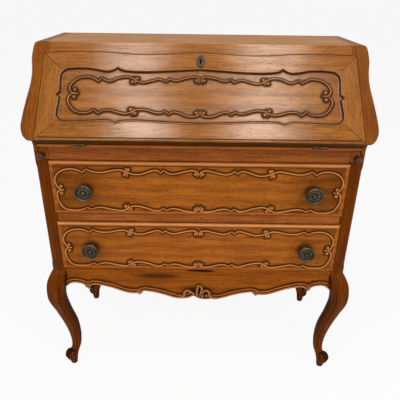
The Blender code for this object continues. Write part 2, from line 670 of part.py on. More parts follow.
def build_top_rail(bolt_low, bolt_high):
    """The fixed rail above the fall front, with the mortise that the lock bolt enters."""
    half = WING_INNER - FIT
    above = (TOTAL_HEIGHT - BED_TOP) / math.sin(LID_SLOPE) + CUT_MARGIN
    outline = chain(wave_line(half, TOP_RAIL_GAP), [(-half, above), (half, above)])
    rail = plate("top_front_rail", outline, TOP_RAIL_THICKNESS, SLOPE, WALNUT,
                 (0, 0, LID_THICKNESS - FRAME_SETBACK - TOP_RAIL_THICKNESS / 2))
    trim = block("top_rail_trim", (-CASE_HALF, -CASE_DEPTH, TOTAL_HEIGHT),
                 (CASE_HALF, 2 * CASE_DEPTH, TOTAL_HEIGHT + CASE_DEPTH), CASE)
    boolean(rail, trim)
    mouth = lid_top_edge(0)
    mortise = block("bolt_mortise", (-BOLT_WIDTH / 2 - RUN, mouth - CUT_MARGIN, bolt_low - RUN),
                    (BOLT_WIDTH / 2 + RUN, mouth + BOLT_THROW + RUN, bolt_high + RUN), SLOPE)
    boolean(rail, mortise)


def build_lock(lid_top_rail):
    """A lock let into the inside of the top rail; its bolt slides up the slope."""
    low = LID_PANEL_TOP + 2 * FIT + LOCK_INSET
    case = block("lock_case", (-LOCK_WIDTH / 2, low, FIT), (LOCK_WIDTH / 2, low + LOCK_HEIGHT, LOCK_DEPTH),
                 LID, BRASS)
    pocket = block("lock_pocket", (-LOCK_WIDTH / 2 - FIT, low - FIT, -CUT_MARGIN),
                   (LOCK_WIDTH / 2 + FIT, low + LOCK_HEIGHT + FIT, LOCK_DEPTH + FIT), LID)
    boolean(lid_top_rail, pocket)
    top = lid_top_edge(0) - FIT
    bolt_low = LOCK_DEPTH - BOLT_THICKNESS - 2 * FIT
    bolt_high = bolt_low + BOLT_THICKNESS - 2 * RUN
    bolt = frame("lock_bolt_axis", (0, top, (bolt_low + bolt_high) / 2), LID)
    thick = (bolt_high - bolt_low) / 2
    block("lock_bolt", (-BOLT_WIDTH / 2, -BOLT_LENGTH, -thick), (BOLT_WIDTH / 2, 0, thick), bolt, STEEL)
    channel = block("bolt_channel", (-BOLT_WIDTH / 2 - RUN, top - BOLT_LENGTH - RUN, bolt_low - RUN),
                    (BOLT_WIDTH / 2 + RUN, top + CUT_MARGIN, bolt_high + RUN), LID)
    boolean(case, channel)
    boolean(lid_top_rail, channel)
    plate_low = LID_THICKNESS + FIT
    bm = bmesh.new()
    bmesh.ops.create_cone(bm, cap_ends=True, segments=28, radius1=0.5, radius2=0.5, depth=1.0)
    bmesh.ops.scale(bm, vec=(ESCUTCHEON_WIDTH, ESCUTCHEON_HEIGHT, ESCUTCHEON_THICKNESS), verts=bm.verts)
    escutcheon = place(mesh_from(bm, "escutcheon"), "escutcheon", LID, BRONZE,
                       (0, ESCUTCHEON_S, plate_low + ESCUTCHEON_THICKNESS / 2))
    inside = LOCK_DEPTH - CUT_MARGIN / 2
    through = LID_THICKNESS + CUT_MARGIN - inside
    hole = rod("keyhole_round", (0, ESCUTCHEON_S + KEYHOLE_RADIUS, inside), through, KEYHOLE_RADIUS, LID,
               turn=(0, 0, 0), sides=16)
    slot = block("keyhole_slot", (-KEYHOLE_SLOT / 2, ESCUTCHEON_S - KEYHOLE_LENGTH, inside),
                 (KEYHOLE_SLOT / 2, ESCUTCHEON_S + KEYHOLE_RADIUS, inside + through), LID)
    for cut in (hole, slot):
        boolean(escutcheon, cut)
        boolean(lid_top_rail, cut)
    return bolt_low, bolt_high


def build_lopers():
    front, back = POST_SIZE + FIT, POST_BACK - FIT
    floor = LOPER_BOTTOM - FIT
    wall = LOPER_INNER - FIT
    half, tall = (LOPER_OUTER - LOPER_INNER) / 2, (LOPER_TOP - LOPER_BOTTOM) / 2
    length = BACK_FRONT - LOPER_BACK_GAP
    for label, side in SIDES:
        outline = [(wall - LOPER_GUIDE_WALL, FRIEZE_BOTTOM + FIT), (wall + FIT, FRIEZE_BOTTOM + FIT),
                   (wall + FIT, floor - LOPER_GUIDE_DEPTH), (SIDE_INNER - FIT, floor - LOPER_GUIDE_DEPTH),
                   (SIDE_INNER - FIT, floor), (wall, floor), (wall, CASE_TOP - FIT),
                   (wall - LOPER_GUIDE_WALL, CASE_TOP - FIT)]
        plate(f"{label}_loper_guide", [(side * x, z) for x, z in outline], back - front, CASE, OAK,
              (0, (front + back) / 2, 0), FRONT_TURN)
        axis = frame(f"{label}_loper_axis", (side * (LOPER_INNER + half), 0, LOPER_BOTTOM + tall), CASE)
        block(f"{label}_loper", (-half, 0, -tall), (half, length, tall), axis, DARK_WALNUT)
        radius, out = LOPER_KNOB_RADIUS, LOPER_KNOB_STANDOFF
        profile = [(0, out), (radius * 0.55, out * 0.95), (radius * 0.9, out * 0.78), (radius, out * 0.6),
                   (radius * 0.85, out * 0.45), (radius * 0.5, out * 0.35), (radius * 0.45, out * 0.15),
                   (radius * 0.6, FIT), (0, FIT)]
        turned(f"{label}_loper_knob", profile, (side * LOPER_KNOB_OUT, 0, -LOPER_KNOB_DROP), axis,
               KNOB_WOOD, steps=16)


def knob_profile(radius, out):
    """Radius and distance out of a round pull: disc head, neck and small base."""
    return [(0, out), (radius * 0.30, out * 0.99), (radius * 0.62, out * 0.93), (radius * 0.92, out * 0.90),
            (radius, out * 0.82), (radius * 0.96, out * 0.70), (radius * 0.70, out * 0.60),
            (radius * 0.30, out * 0.50), (radius * 0.28, out * 0.20), (radius * 0.50, out * 0.10),
            (radius * 0.50, FIT), (0, FIT)]


def build_drawer(label, front_bottom):
    """A lipped front with two knobs, two sides, a back and a bottom, on one sliding body."""
    half = DRAWER_HALF
    opening_bottom = front_bottom + DRAWER_LIP
    opening_top = front_bottom + DRAWER_FRONT_HEIGHT - DRAWER_LIP
    axis = frame(f"{label}_drawer_axis", (0, 0, front_bottom + DRAWER_FRONT_HEIGHT / 2), CASE)
    middle = axis.location.z
    low, high = opening_bottom + RUN - middle, opening_top - RUN - middle
    core = OPENING_HALF - DRAWER_PLAY
    inner = DRAWER_FRONT_THICKNESS - DRAWER_PROUD
    tall = DRAWER_FRONT_HEIGHT / 2
    front = block(f"{label}_drawer_front", (-half, -DRAWER_PROUD, -tall), (half, -FIT, tall), axis, WALNUT)
    tenon = block(f"{label}_drawer_core", (-core, -DRAWER_PROUD / 2, low), (core, inner, high), axis)
    boolean(front, tenon, "UNION")
    start = inner + FIT
    end = BACK_FRONT - DRAWER_BACK_GAP
    top = high - DRAWER_SIDE_DROP
    for name, side in SIDES:
        x_low, x_high = span(side, core - DRAWER_WALL, core)
        block(f"{label}_drawer_{name}_side", (x_low, start, low), (x_high, end, top), axis, OAK)
        turned(f"{label}_drawer_{name}_knob", knob_profile(KNOB_RADIUS, KNOB_STANDOFF),
               (side * KNOB_X, -DRAWER_PROUD, -KNOB_BELOW_MIDDLE), axis, BRONZE)
    between = core - DRAWER_WALL - FIT
    floor = low + DRAWER_BOTTOM_HEIGHT
    floor_top = floor + DRAWER_BOTTOM_THICKNESS
    block(f"{label}_drawer_back", (-between, end - DRAWER_WALL, floor_top + FIT), (between, end, top),
          axis, OAK)
    block(f"{label}_drawer_bottom", (-between, start, floor), (between, end, floor_top), axis, OAK)


def build_compartment():
    half = WING_INNER - FIT
    back = BACK_FRONT - FIT
    shelf = BED_TOP + SHELF_HEIGHT
    block("pigeonhole_shelf", (-half, SHELF_FRONT, shelf), (half, back, shelf + SHELF_THICKNESS), CASE, OAK)
    thick = DIVIDER_THICKNESS / 2
    for label, side in SIDES:
        x = side * DIVIDER_X
        block(f"{label}_pigeonhole_divider", (x - thick, SHELF_FRONT, BED_TOP + FIT),
              (x + thick, back, shelf - FIT), CASE, OAK)
        wide = (half - DIVIDER_X - thick) / 2 - DRAWER_PLAY
        tall = (SHELF_HEIGHT - FIT) / 2 - DRAWER_PLAY
        centre = side * (half + DIVIDER_X + thick) / 2
        axis = frame(f"{label}_inner_drawer_axis", (centre, SHELF_FRONT, BED_TOP + FIT + tall), CASE)
        deep = SHELF_DEPTH - DRAWER_PLAY
        drawer = block(f"{label}_inner_drawer", (-wide, 0, -tall), (wide, deep, tall), axis, OAK)
        hollow = block(f"{label}_inner_hollow", (INNER_WALL - wide, INNER_WALL, INNER_WALL - tall),
                       (wide - INNER_WALL, deep - INNER_WALL, tall + CUT_MARGIN), axis)
        boolean(drawer, hollow)
        turned(f"{label}_inner_knob", knob_profile(INNER_KNOB_RADIUS, INNER_KNOB_STANDOFF), (0, 0, 0), axis,
               BRASS, steps=14)


HINGE_CUTS = hinge_cuts()
build_legs()
build_front_frame()
build_sides()
build_floor_and_back()
build_wings()
build_desk_top()
build_hinges()
build_top_rail(*build_lock(build_lid()))
build_lopers()
build_drawer("upper", UPPER_FRONT_BOTTOM)
build_drawer("lower", LOWER_FRONT_BOTTOM)
build_compartment()
bpy.context.view_layer.update()
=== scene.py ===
"""Looks of the fall-front secretary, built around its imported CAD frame.

Metres, +Z up, front towards -Y. Carving is drawn in millimetres on flat planes: a front plane, with x
to the right, y up and z out to the front, and the fall front's plane, with x to the right, y up the
slope and z out of the desk.
"""
import json
import math

import bmesh
import bpy
from mathutils import Matrix, Vector
from mathutils.kdtree import KDTree


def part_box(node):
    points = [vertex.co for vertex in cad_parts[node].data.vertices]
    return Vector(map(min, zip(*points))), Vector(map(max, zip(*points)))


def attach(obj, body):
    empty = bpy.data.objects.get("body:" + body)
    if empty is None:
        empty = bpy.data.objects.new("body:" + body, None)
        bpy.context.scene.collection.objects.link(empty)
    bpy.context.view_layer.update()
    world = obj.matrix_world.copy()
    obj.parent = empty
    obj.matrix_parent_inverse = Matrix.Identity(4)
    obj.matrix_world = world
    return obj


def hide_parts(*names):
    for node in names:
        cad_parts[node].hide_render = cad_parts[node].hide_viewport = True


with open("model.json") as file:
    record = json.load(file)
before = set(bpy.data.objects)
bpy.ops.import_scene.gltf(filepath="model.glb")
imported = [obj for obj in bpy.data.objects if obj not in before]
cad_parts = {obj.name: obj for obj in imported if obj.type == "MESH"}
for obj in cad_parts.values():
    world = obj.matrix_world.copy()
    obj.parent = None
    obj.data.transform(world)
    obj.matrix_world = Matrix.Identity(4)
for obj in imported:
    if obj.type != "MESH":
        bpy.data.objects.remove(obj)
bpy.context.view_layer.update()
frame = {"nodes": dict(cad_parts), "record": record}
MM = 0.001
SCENE = bpy.context.scene
BODY_OF = {node: body for body, nodes in frame["record"]["behaviour"]["bodies"].items() for node in nodes}
SIDES = (("left", -1), ("right", 1))
LEFT_RIGHT = ("left", "right")
DRAWERS = ("upper", "lower")

# Places read from the frame
FRONT_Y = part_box("frieze_rail")[0].y
HINGE_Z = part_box("desk_bed")[1].z
LID_SLOPE = math.radians(47)
LID_FACE = 0.0235
LID_PANEL_FACE = 0.0205
LID_ORIGIN = Vector((0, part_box("desk_bed")[0].y - 0.0006, HINGE_Z))
LID_PLANE = Matrix.Translation(LID_ORIGIN) @ Matrix.Rotation(LID_SLOPE, 4, "X")


def front_plane(y, z=0.0):
    """A plane that faces the front: local x, y and z are the world's x, z and -y."""
    return Matrix.Translation((0, y, z)) @ Matrix.Rotation(math.radians(90), 4, "X")


# Materials
def feed(tree, socket, source):
    """Give a socket a value, or a link from another socket."""
    if isinstance(source, bpy.types.NodeSocket):
        tree.links.new(source, socket)
    else:
        socket.default_value = source


def node(tree, kind, inputs=None, **values):
    """A shader node with its settings, and its inputs as values or links."""
    made = tree.nodes.new("ShaderNode" + kind)
    for key, value in values.items():
        setattr(made, key, value)
    for key, source in (inputs or {}).items():
        feed(tree, made.inputs[key], source)
    return made


def maths(tree, operation, first, second, third=0.5, clamp=False):
    made = node(tree, "Math", {0: first, 1: second, 2: third}, operation=operation, use_clamp=clamp)
    return made.outputs[0]


def mix(tree, factor, first, second):
    return node(tree, "Mix", {"Factor": factor, 6: first, 7: second}, data_type="RGBA").outputs[2]


def spread(tree, value, low, high, to_low=0.0, to_high=1.0):
    """A soft step from one range of values to another."""
    inputs = dict(enumerate((value, low, high, to_low, to_high)))
    return node(tree, "MapRange", inputs, interpolation_type="SMOOTHSTEP").outputs[0]


def noise_at(tree, vector, scale, detail, roughness, distortion=0.0):
    return node(tree, "TexNoise", {"Vector": vector, "Scale": scale, "Detail": detail, "Roughness": roughness,
                                   "Distortion": distortion}).outputs["Fac"]


def stretched(tree, vector, along, across):
    return node(tree, "Mapping", {"Vector": vector, "Scale": (along, across, across)}).outputs[0]


def hollows(tree, distance, open_share, closed_share):
    """1 in the hollows of a piece, 0 on its open faces."""
    made = node(tree, "AmbientOcclusion", {"Distance": distance}, samples=HOLLOW_SAMPLES)
    return spread(tree, made.outputs["AO"], open_share, closed_share)


def bumped(tree, shader, height, strength, distance):
    made = node(tree, "Bump", {"Height": height, "Strength": strength, "Distance": distance})
    feed(tree, shader.inputs["Normal"], made.outputs[0])


def shader_of(name):
    made = bpy.data.materials.new(name)
    made.use_nodes = True
    return made, made.node_tree, made.node_tree.nodes["Principled BSDF"]


HOLLOW_SAMPLES = 12
# Pale worn wood; on the tops of beads, lips and berries it also stands for a painted highlight.
RUBBED_AND_HIGHLIGHT = (0.72, 0.31, 0.11)
GRAIN_TURNS = {
    "x": (0, 0, 0),
    "y": (0, 0, math.radians(-90)),
    "z": (0, math.radians(90), 0),
    "slope": (-LID_SLOPE, 0, math.radians(-90)),
}
# Streaks, broad figure, fibres, pores and patches of the wood: stretch along and across the grain, then the
# noise's detail, roughness and distortion
WOOD_LAYERS = ((11.0, 230.0, 4.0, 0.65, 0.3), (7.0, 34.0, 4.0, 0.6, 0.8), (14.0, 420.0, 3.0, 0.6),
               (60.0, 720.0, 2.0, 0.5), (7.0, 14.0, 4.0, 0.6))
WAVE_STRETCH = (2.2, 8.0)
WAVE = {"Scale": 1.3, "Distortion": 7.0, "Detail": 4.0, "Detail Scale": 1.8}
STREAK_SHARE, BROAD_SHARE, WAVE_SHARE = 0.70, 0.30, 0.16
MARK_EDGE, MARK_RAGGED = 1.3, 1.2
WAX_AND_SHADE_DISTANCE, WAX_AND_SHADE_MATT = 0.012, 0.92
WOOD_BUMP = 0.00025


def wood(name, grain, light, dark, pore, roughness=0.36, specular=0.25, grime_and_painted_light=0.9, figure=0.5, marks=(),
         ripple=0.5):
    """Polished wood: figure, fibres and pores along the grain, and darkening in the hollows, which is old wax
    and painted shade.

    A vertex attribute adds old wax and painted shade where it is above 0, and makes the wood pale where it is
    below: wear, and a painted highlight. Marks are dark patches, old stains among them: centre, half size,
    strength and softness.
    """
    made, tree, shader = shader_of(name)
    light, dark, pore = (*light, 1), (*dark, 1), (*pore, 1)
    place = node(tree, "TexCoord").outputs["Object"]
    along = node(tree, "Mapping", {"Vector": place, "Rotation": GRAIN_TURNS[grain]}).outputs[0]
    streaks, broad, fibre, pores, patches = (
        noise_at(tree, stretched(tree, along, run, cross), 1.0, *rest) for run, cross, *rest in WOOD_LAYERS)
    wave = node(tree, "TexWave", {"Vector": stretched(tree, along, *WAVE_STRETCH), **WAVE}, wave_type="BANDS",
                bands_direction="Z").outputs["Fac"]

    tone = maths(tree, "MULTIPLY_ADD", broad, BROAD_SHARE, maths(tree, "MULTIPLY", wave, WAVE_SHARE * figure))
    tone = maths(tree, "MULTIPLY_ADD", streaks, STREAK_SHARE, tone)
    shift = 0.08 * figure
    colour = mix(tree, spread(tree, tone, 0.38 + shift, 0.64 + shift), light, dark)
    colour = mix(tree, spread(tree, patches, 0.50, 0.75, 0.0, 0.22 * figure), colour, dark)
    colour = mix(tree, spread(tree, fibre, 0.46, 0.68, 0.0, 0.75), colour, dark)
    colour = mix(tree, spread(tree, pores, 0.58, 0.68, 0.0, 0.70), colour, pore)
    for centre, half, strength, soft in marks:
        away = node(tree, "VectorMath", {0: place, 1: centre}, operation="SUBTRACT").outputs[0]
        share = node(tree, "VectorMath", {0: away, 1: half}, operation="DIVIDE").outputs[0]
        reach = node(tree, "VectorMath", {0: share}, operation="LENGTH").outputs["Value"]
        edge = maths(tree, "MULTIPLY_ADD", streaks, MARK_RAGGED, reach)
        cover = spread(tree, edge, MARK_EDGE + soft, MARK_EDGE - soft, 0.0, strength)
        colour = mix(tree, cover, colour, pore)
    # Paler where the attribute is below 0: wear and a painted highlight.
    painted_light_and_patina = node(tree, "Attribute", attribute_name="patina_and_painted_light").outputs["Fac"]
    colour = mix(tree, maths(tree, "MULTIPLY", painted_light_and_patina, -1.0, clamp=True), colour, (*RUBBED_AND_HIGHLIGHT, 1))
    # Darker in the hollows and where the attribute is above 0: old wax and painted shade.
    wax_and_shade = maths(tree, "MAXIMUM", hollows(tree, WAX_AND_SHADE_DISTANCE, 0.90, 0.42), painted_light_and_patina)
    colour = mix(tree, maths(tree, "MULTIPLY", wax_and_shade, grime_and_painted_light), colour, pore)
    gloss = maths(tree, "MULTIPLY_ADD", wax_and_shade, 0.25, roughness - 0.11)
    for key, source in (
            ("Base Color", colour), ("Roughness", maths(tree, "MULTIPLY_ADD", patches, 0.22, gloss)),
            ("Specular IOR Level", maths(tree, "MULTIPLY_ADD", wax_and_shade, -WAX_AND_SHADE_MATT * specular, specular))):
        feed(tree, shader.inputs[key], source)
    relief = maths(tree, "MULTIPLY_ADD", pores, -0.7, maths(tree, "MULTIPLY_ADD", fibre, -0.5, patches))
    bumped(tree, shader, relief, ripple, WOOD_BUMP)
    return made


def metal(name, bright, dull, roughness, worn=0.5):
    """Old metal: bright where it is rubbed, dull in the hollows and stains."""
    made, tree, shader = shader_of(name)
    place = node(tree, "TexCoord").outputs["Object"]
    grit = noise_at(tree, place, 420.0, 4.0, 0.6)
    stain = noise_at(tree, place, 60.0, 3.0, 0.6)
    cover = maths(tree, "ADD", hollows(tree, 0.006, 0.95, 0.45), spread(tree, stain, 0.35, 0.75, 0.0, worn),
                  clamp=True)
    for key, source in (("Base Color", mix(tree, cover, (*bright, 1), (*dull, 1))), ("Metallic", 0.9),
                        ("Roughness", maths(tree, "MULTIPLY_ADD", cover, 0.25, roughness))):
        feed(tree, shader.inputs[key], source)
    bumped(tree, shader, grit, 0.25, 0.0004)
    return made


PORE = (0.026, 0.008, 0.003)
LID_TONE = ((0.375, 0.128, 0.016), (0.23, 0.072, 0.008), PORE)
DRAWER_TONE = ((0.46, 0.137, 0.013), (0.29, 0.076, 0.008), PORE)
APRON_TONE = ((0.39, 0.106, 0.006), (0.22, 0.051, 0.004), PORE)
RAIL_TONE = ((0.45, 0.132, 0.026), (0.275, 0.073, 0.014), (0.022, 0.007, 0.003))
LEG_TONE = ((0.190, 0.043, 0.002), (0.120, 0.026, 0.001), (0.014, 0.005, 0.002))
WING_TONE = ((0.27, 0.077, 0.004), (0.165, 0.040, 0.003), PORE)
TOP_TONE = ((0.46, 0.205, 0.060), (0.33, 0.130, 0.030), (0.08, 0.032, 0.012))
OAK_TONE = ((0.45, 0.290, 0.140), (0.33, 0.200, 0.090), (0.13, 0.075, 0.030))
LID_RAIL = wood("walnut_lid_rails", "x", *LID_TONE, 0.15, 0.14, ripple=0.8)
LID_BOARD = wood("walnut_lid_panel", "x", *LID_TONE, 0.17, 0.12, figure=1.0, ripple=0.8)
STILE = wood("walnut_lid_stiles", "slope", *LID_TONE, 0.36, 0.05)
DRAWER = wood("walnut_drawers", "x", *DRAWER_TONE, 0.40, 0.06, figure=1.0)
UPRIGHT = wood("walnut_legs", "z", *LEG_TONE, 0.36, 0.03)
RAIL = wood("walnut_rails", "x", *RAIL_TONE, 0.42, 0.05)
# Marks: a dark line along the apron's top under the middle of the lower drawer, an old stain to the left, and
# darkening round the carved middle, which is painted shade in its recesses and old wax.
APRON = wood("walnut_apron", "x", *APRON_TONE, 0.40, 0.04,
             marks=(((0.010, FRONT_Y, 0.3820), (0.064, 1.0, 0.0062), 1.0, 0.20),
                    ((-0.118, FRONT_Y, 0.361), (0.085, 1.0, 0.0125), 0.80, 0.4),
                    ((0.000, FRONT_Y, 0.304), (0.064, 1.0, 0.0360), 0.90, 0.4)))
SIDE = wood("walnut_sides", "z", *DRAWER_TONE, 0.40, 0.06, figure=1.0)
WING = wood("walnut_wings", "slope", *WING_TONE, 0.40, 0.03)
TOP = wood("walnut_top", "x", *TOP_TONE, 0.5, 0.05)
DEPTHWISE = wood("walnut_lopers", "y", *RAIL_TONE, 0.42, 0.05)
OAK_X = wood("oak_boards", "x", *OAK_TONE, 0.5, 0.1, 0.5)
OAK_Y = wood("oak_depthwise", "y", *OAK_TONE, 0.5, 0.1, 0.5)
OAK_Z = wood("oak_upright", "z", *OAK_TONE, 0.55, 0.1, 0.5)
KNOB_TONE = ((0.11, 0.034, 0.010), (0.055, 0.017, 0.006), (0.016, 0.007, 0.004))
KNOB_WOOD = wood("knob_walnut", "y", *KNOB_TONE, 0.3, 0.2)
BRONZE = metal("old_bronze", (0.074, 0.058, 0.036), (0.0025, 0.0020, 0.0015), 0.46, 0.45)
DARK_BRONZE = metal("dark_bronze", (0.0060, 0.0048, 0.0034), (0.003, 0.0024, 0.0018), 0.36)
RIM_BRONZE = metal("rim_bronze", (0.030, 0.024, 0.016), (0.004, 0.0034, 0.0024), 0.40)
BRASS = metal("old_brass", (0.60, 0.47, 0.27), (0.20, 0.14, 0.07), 0.30, 0.4)
HINGE_METAL = metal("hinge_metal", (0.13, 0.088, 0.054), (0.03, 0.020, 0.011), 0.40, 0.6)
STEEL = metal("lock_steel", (0.52, 0.51, 0.49), (0.20, 0.18, 0.16), 0.30, 0.4)


# Mesh helpers
def piece(name, bm, body, finish, replaces=(), plane=None, sharp=35.0):
    """Turn a bmesh into a piece that rides on a body."""
    if plane is not None:
        bmesh.ops.transform(bm, matrix=plane, verts=bm.verts)
    bmesh.ops.recalc_face_normals(bm, faces=bm.faces)
    for face in bm.faces:
        face.smooth = True
    mesh = bpy.data.meshes.new(name)
    bm.to_mesh(mesh)
    bm.free()
    if "custom_normal" in mesh.attributes:
        mesh.attributes.remove(mesh.attributes["custom_normal"])
    mesh.set_sharp_from_angle(angle=math.radians(sharp))
    mesh.materials.clear()
    mesh.materials.append(finish)
    made = bpy.data.objects.new(name, mesh)
    SCENE.collection.objects.link(made)
    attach(made, body)
    if replaces:
        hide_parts(*replaces)
    return made


def carved(name, bm, body, finish, plane, replaces=(), sharp=60.0):
    """A piece that is drawn in millimetres on a plane."""
    bmesh.ops.scale(bm, vec=(MM, MM, MM), verts=bm.verts)
    return piece(name, bm, body, finish, replaces, plane, sharp)


def patina_and_light_layer(bm):
    """The layer that holds old wax, wear, painted shade and painted highlights."""
    return bm.verts.layers.float.get("patina_and_painted_light") or bm.verts.layers.float.new("patina_and_painted_light")


def bridge(bm, rings, closed=False, first_cap=True):
    """Join rings of points with faces, and cap the ends unless the last ring meets the first."""
    for first, second in zip(rings, rings[1:] + (rings[:1] if closed else [])):
        for at in range(len(first)):
            following = (at + 1) % len(first)
            bm.faces.new((first[at], first[following], second[following], second[at]))
    if not closed:
        for ring in (rings[0], rings[-1]) if first_cap else (rings[-1],):
            bm.faces.new(ring)


def circle(count):
    """Points round a circle of radius 1."""
    return [(math.cos(2 * math.pi * step / count), math.sin(2 * math.pi * step / count))
            for step in range(count)]


def broadest(bm, test):
    """The largest of the faces whose normal passes a test."""
    return max((face for face in bm.faces if test(face.normal)), key=lambda face: face.calc_area())


def bake(made):
    """Turn a piece's modifiers into its mesh."""
    bpy.context.view_layer.update()
    result = bpy.data.meshes.new_from_object(made.evaluated_get(bpy.context.evaluated_depsgraph_get()))
    made.modifiers.clear()
    made.data = result


def flat(made):
    """Keep the broad faces of a piece flat in the light, with the turn in its narrow rounded edges."""
    made.modifiers.new("flat", "WEIGHTED_NORMAL").keep_sharp = True
    bake(made)
    return made


def copy_of(name):
    """A welded copy of a CAD node's mesh, with its flat faces joined."""
    bm = bmesh.new()
    bm.from_mesh(frame["nodes"][name].data)
    bmesh.ops.remove_doubles(bm, verts=bm.verts, dist=1e-5)
    bmesh.ops.dissolve_limit(bm, angle_limit=math.radians(0.4), verts=bm.verts, edges=bm.edges)
    return bm


def ease(bm, width, segments=2, angle=32.0, test=None):
    """Round the sharp edges, or those that pass a test on their two ends."""
    edges = []
    for edge in bm.edges:
        if len(edge.link_faces) == 2 and edge.calc_face_angle(0.0) > math.radians(angle):
            if test is None or test(edge.verts[0].co, edge.verts[1].co):
                edges.append(edge)
    bmesh.ops.bevel(bm, geom=edges, offset=width, offset_type="OFFSET", segments=segments, profile=0.5,
                    affect="EDGES", clamp_overlap=False)


def softened(name, finish, width=0.0008, segments=2, sharp=35.0):
    """Stand a softened copy in for a CAD node."""
    bm = copy_of(name)
    ease(bm, width, segments)
    return flat(piece(name + "_soft", bm, BODY_OF[name], finish, (name,), sharp=sharp))


def smooth(points, steps=6):
    """A smooth line through the points, with both ends kept."""
    padded = [points[0], *points, points[-1]]
    line = []
    for before, start, end, after in zip(padded, padded[1:], padded[2:], padded[3:]):
        for step in range(steps):
            t = step / steps
            line.append(tuple(
                0.5 * (2 * b + (c - a) * t + (2 * a - 5 * b + 4 * c - d) * t ** 2
                       + (3 * b - a - 3 * c + d) * t ** 3)
                for a, b, c, d in zip(before, start, end, after)))
    return line + [tuple(points[-1])]


def even(line, spacing):
    """The same line with points about a spacing apart."""
    total = [0.0]
    for start, end in zip(line, line[1:]):
        total.append(total[-1] + math.dist(start, end))
    count = max(2, round(total[-1] / spacing))
    made, at = [], 0
    for step in range(count + 1):
        want = total[-1] * step / count
        while at < len(line) - 2 and total[at + 1] < want:
            at += 1
        length = total[at + 1] - total[at]
        share = (want - total[at]) / length if length > 0 else 0.0
        made.append(tuple(a + (b - a) * share for a, b in zip(line[at], line[at + 1])))
    return made


# Section of a carved bead: share of the half width, share of the height, patina; the dark flanks are old wax
# and painted shade, the pale top is wear and a painted highlight
RIDGE = ((-1.0, -0.40, 1.0), (-1.0, 0.08, 1.0), (-0.88, 0.45, 0.7), (-0.66, 0.74, -0.2), (-0.34, 0.95, -0.8),
         (0.0, 1.0, -1.0), (0.34, 0.95, -0.8), (0.66, 0.74, -0.2), (0.88, 0.45, 0.7), (1.0, 0.08, 1.0),
         (1.0, -0.40, 1.0))
# Section of a bead along an edge, with a dark groove on its inner side: a flat strip whose dark colour is
# painted shade and old wax
EDGE_BEAD = ((-1.0, -0.40, 0.5), (-1.0, 0.10, 0.2), (-0.85, 0.50, -0.2), (-0.50, 0.88, -0.55),
             (0.0, 1.0, -0.65), (0.50, 0.85, -0.35), (0.80, 0.50, 0.3), (1.0, 0.12, 1.0), (1.50, 0.12, 1.0),
             (1.90, 0.11, 0.1), (1.90, -0.40, 0.1))
# Section of the bead inside it, in a dark bed that fades away from the edge: painted shadow and old wax
INNER_BEAD = ((-1.25, -0.40, 1.0), (-1.25, 0.10, 1.0), (-1.0, 0.12, 1.0), (-0.80, 0.55, 0.5),
              (-0.45, 0.90, -0.2), (0.0, 1.0, -0.45), (0.45, 0.88, -0.3), (0.80, 0.55, 0.3), (1.10, 0.15, 1.0),
              (1.90, 0.13, 0.95), (2.80, 0.12, 0.45), (4.20, 0.11, 0.0), (4.20, -0.40, 0.0))


def normals_of(line, closed):
    """Unit normals to the left of a flat line, and how much longer a mitre is there."""
    count = len(line)
    made = []
    for at in range(count):
        before = line[at - 1] if closed or at else line[at]
        after = line[(at + 1) % count] if closed or at < count - 1 else line[at]
        here = Vector(line[at][:2])
        into, out = here - Vector(before[:2]), Vector(after[:2]) - here
        into, out = (into or out).normalized(), (out or into).normalized()
        along = (into + out).normalized() if (into + out).length > 1e-6 else out
        made.append((Vector((-along.y, along.x)), min(1.6, 1.0 / max(0.3, along.dot(out)))))
    return made


def ridge(bm, line, half, height, base=0.0, ends=(1.0, 1.0), taper=0.25, closed=False, section=RIDGE,
          rub_and_highlight=1.0):
    """A carved bead along a flat line, in the line's own units; it narrows towards its ends.

    Rub says how pale its top is made: wear, and a painted highlight.
    """
    patina_and_painted_light = patina_and_light_layer(bm)
    rings = []
    for at, ((x, y), (normal, mitre)) in enumerate(zip(line, normals_of(line, closed))):
        share = at / max(1, len(line) - 1)
        size = 1.0
        if not closed:
            for end, away in ((ends[0], share), (ends[1], 1.0 - share)):
                if away < taper:
                    size *= end + (1.0 - end) * math.sin(0.5 * math.pi * away / taper)
        ring = []
        for across, up, grime_and_painted_light in section:
            reach = across * half * size * mitre
            vert = bm.verts.new((x + normal.x * reach, y + normal.y * reach,
                                 base + up * height * (0.45 + 0.55 * size)))
            vert[patina_and_painted_light] = grime_and_painted_light if grime_and_painted_light > 0 else grime_and_painted_light * rub_and_highlight
            ring.append(vert)
        rings.append(ring)
    bridge(bm, rings, closed)


def ball(bm, x, y, radius, base=0.0, rise=0.85, rub_and_highlight=0.4):
    """A carved round berry on a plane, darker towards its foot, which is old wax and painted shade, and paler
    at its top, which is wear and a painted highlight.
    """
    patina_and_painted_light = patina_and_light_layer(bm)
    made = bmesh.ops.create_uvsphere(bm, u_segments=18, v_segments=12, radius=1.0)["verts"]
    for vert in made:
        vert[patina_and_painted_light] = max(-rub_and_highlight, min(1.0, (0.55 - vert.co.z) / 0.40))
        vert.co = Vector((x + vert.co.x * radius, y + vert.co.y * radius,
                          base + (vert.co.z * rise + 0.05) * radius))


def mirrored(line):
    return [(-point[0], *point[1:]) for point in line]


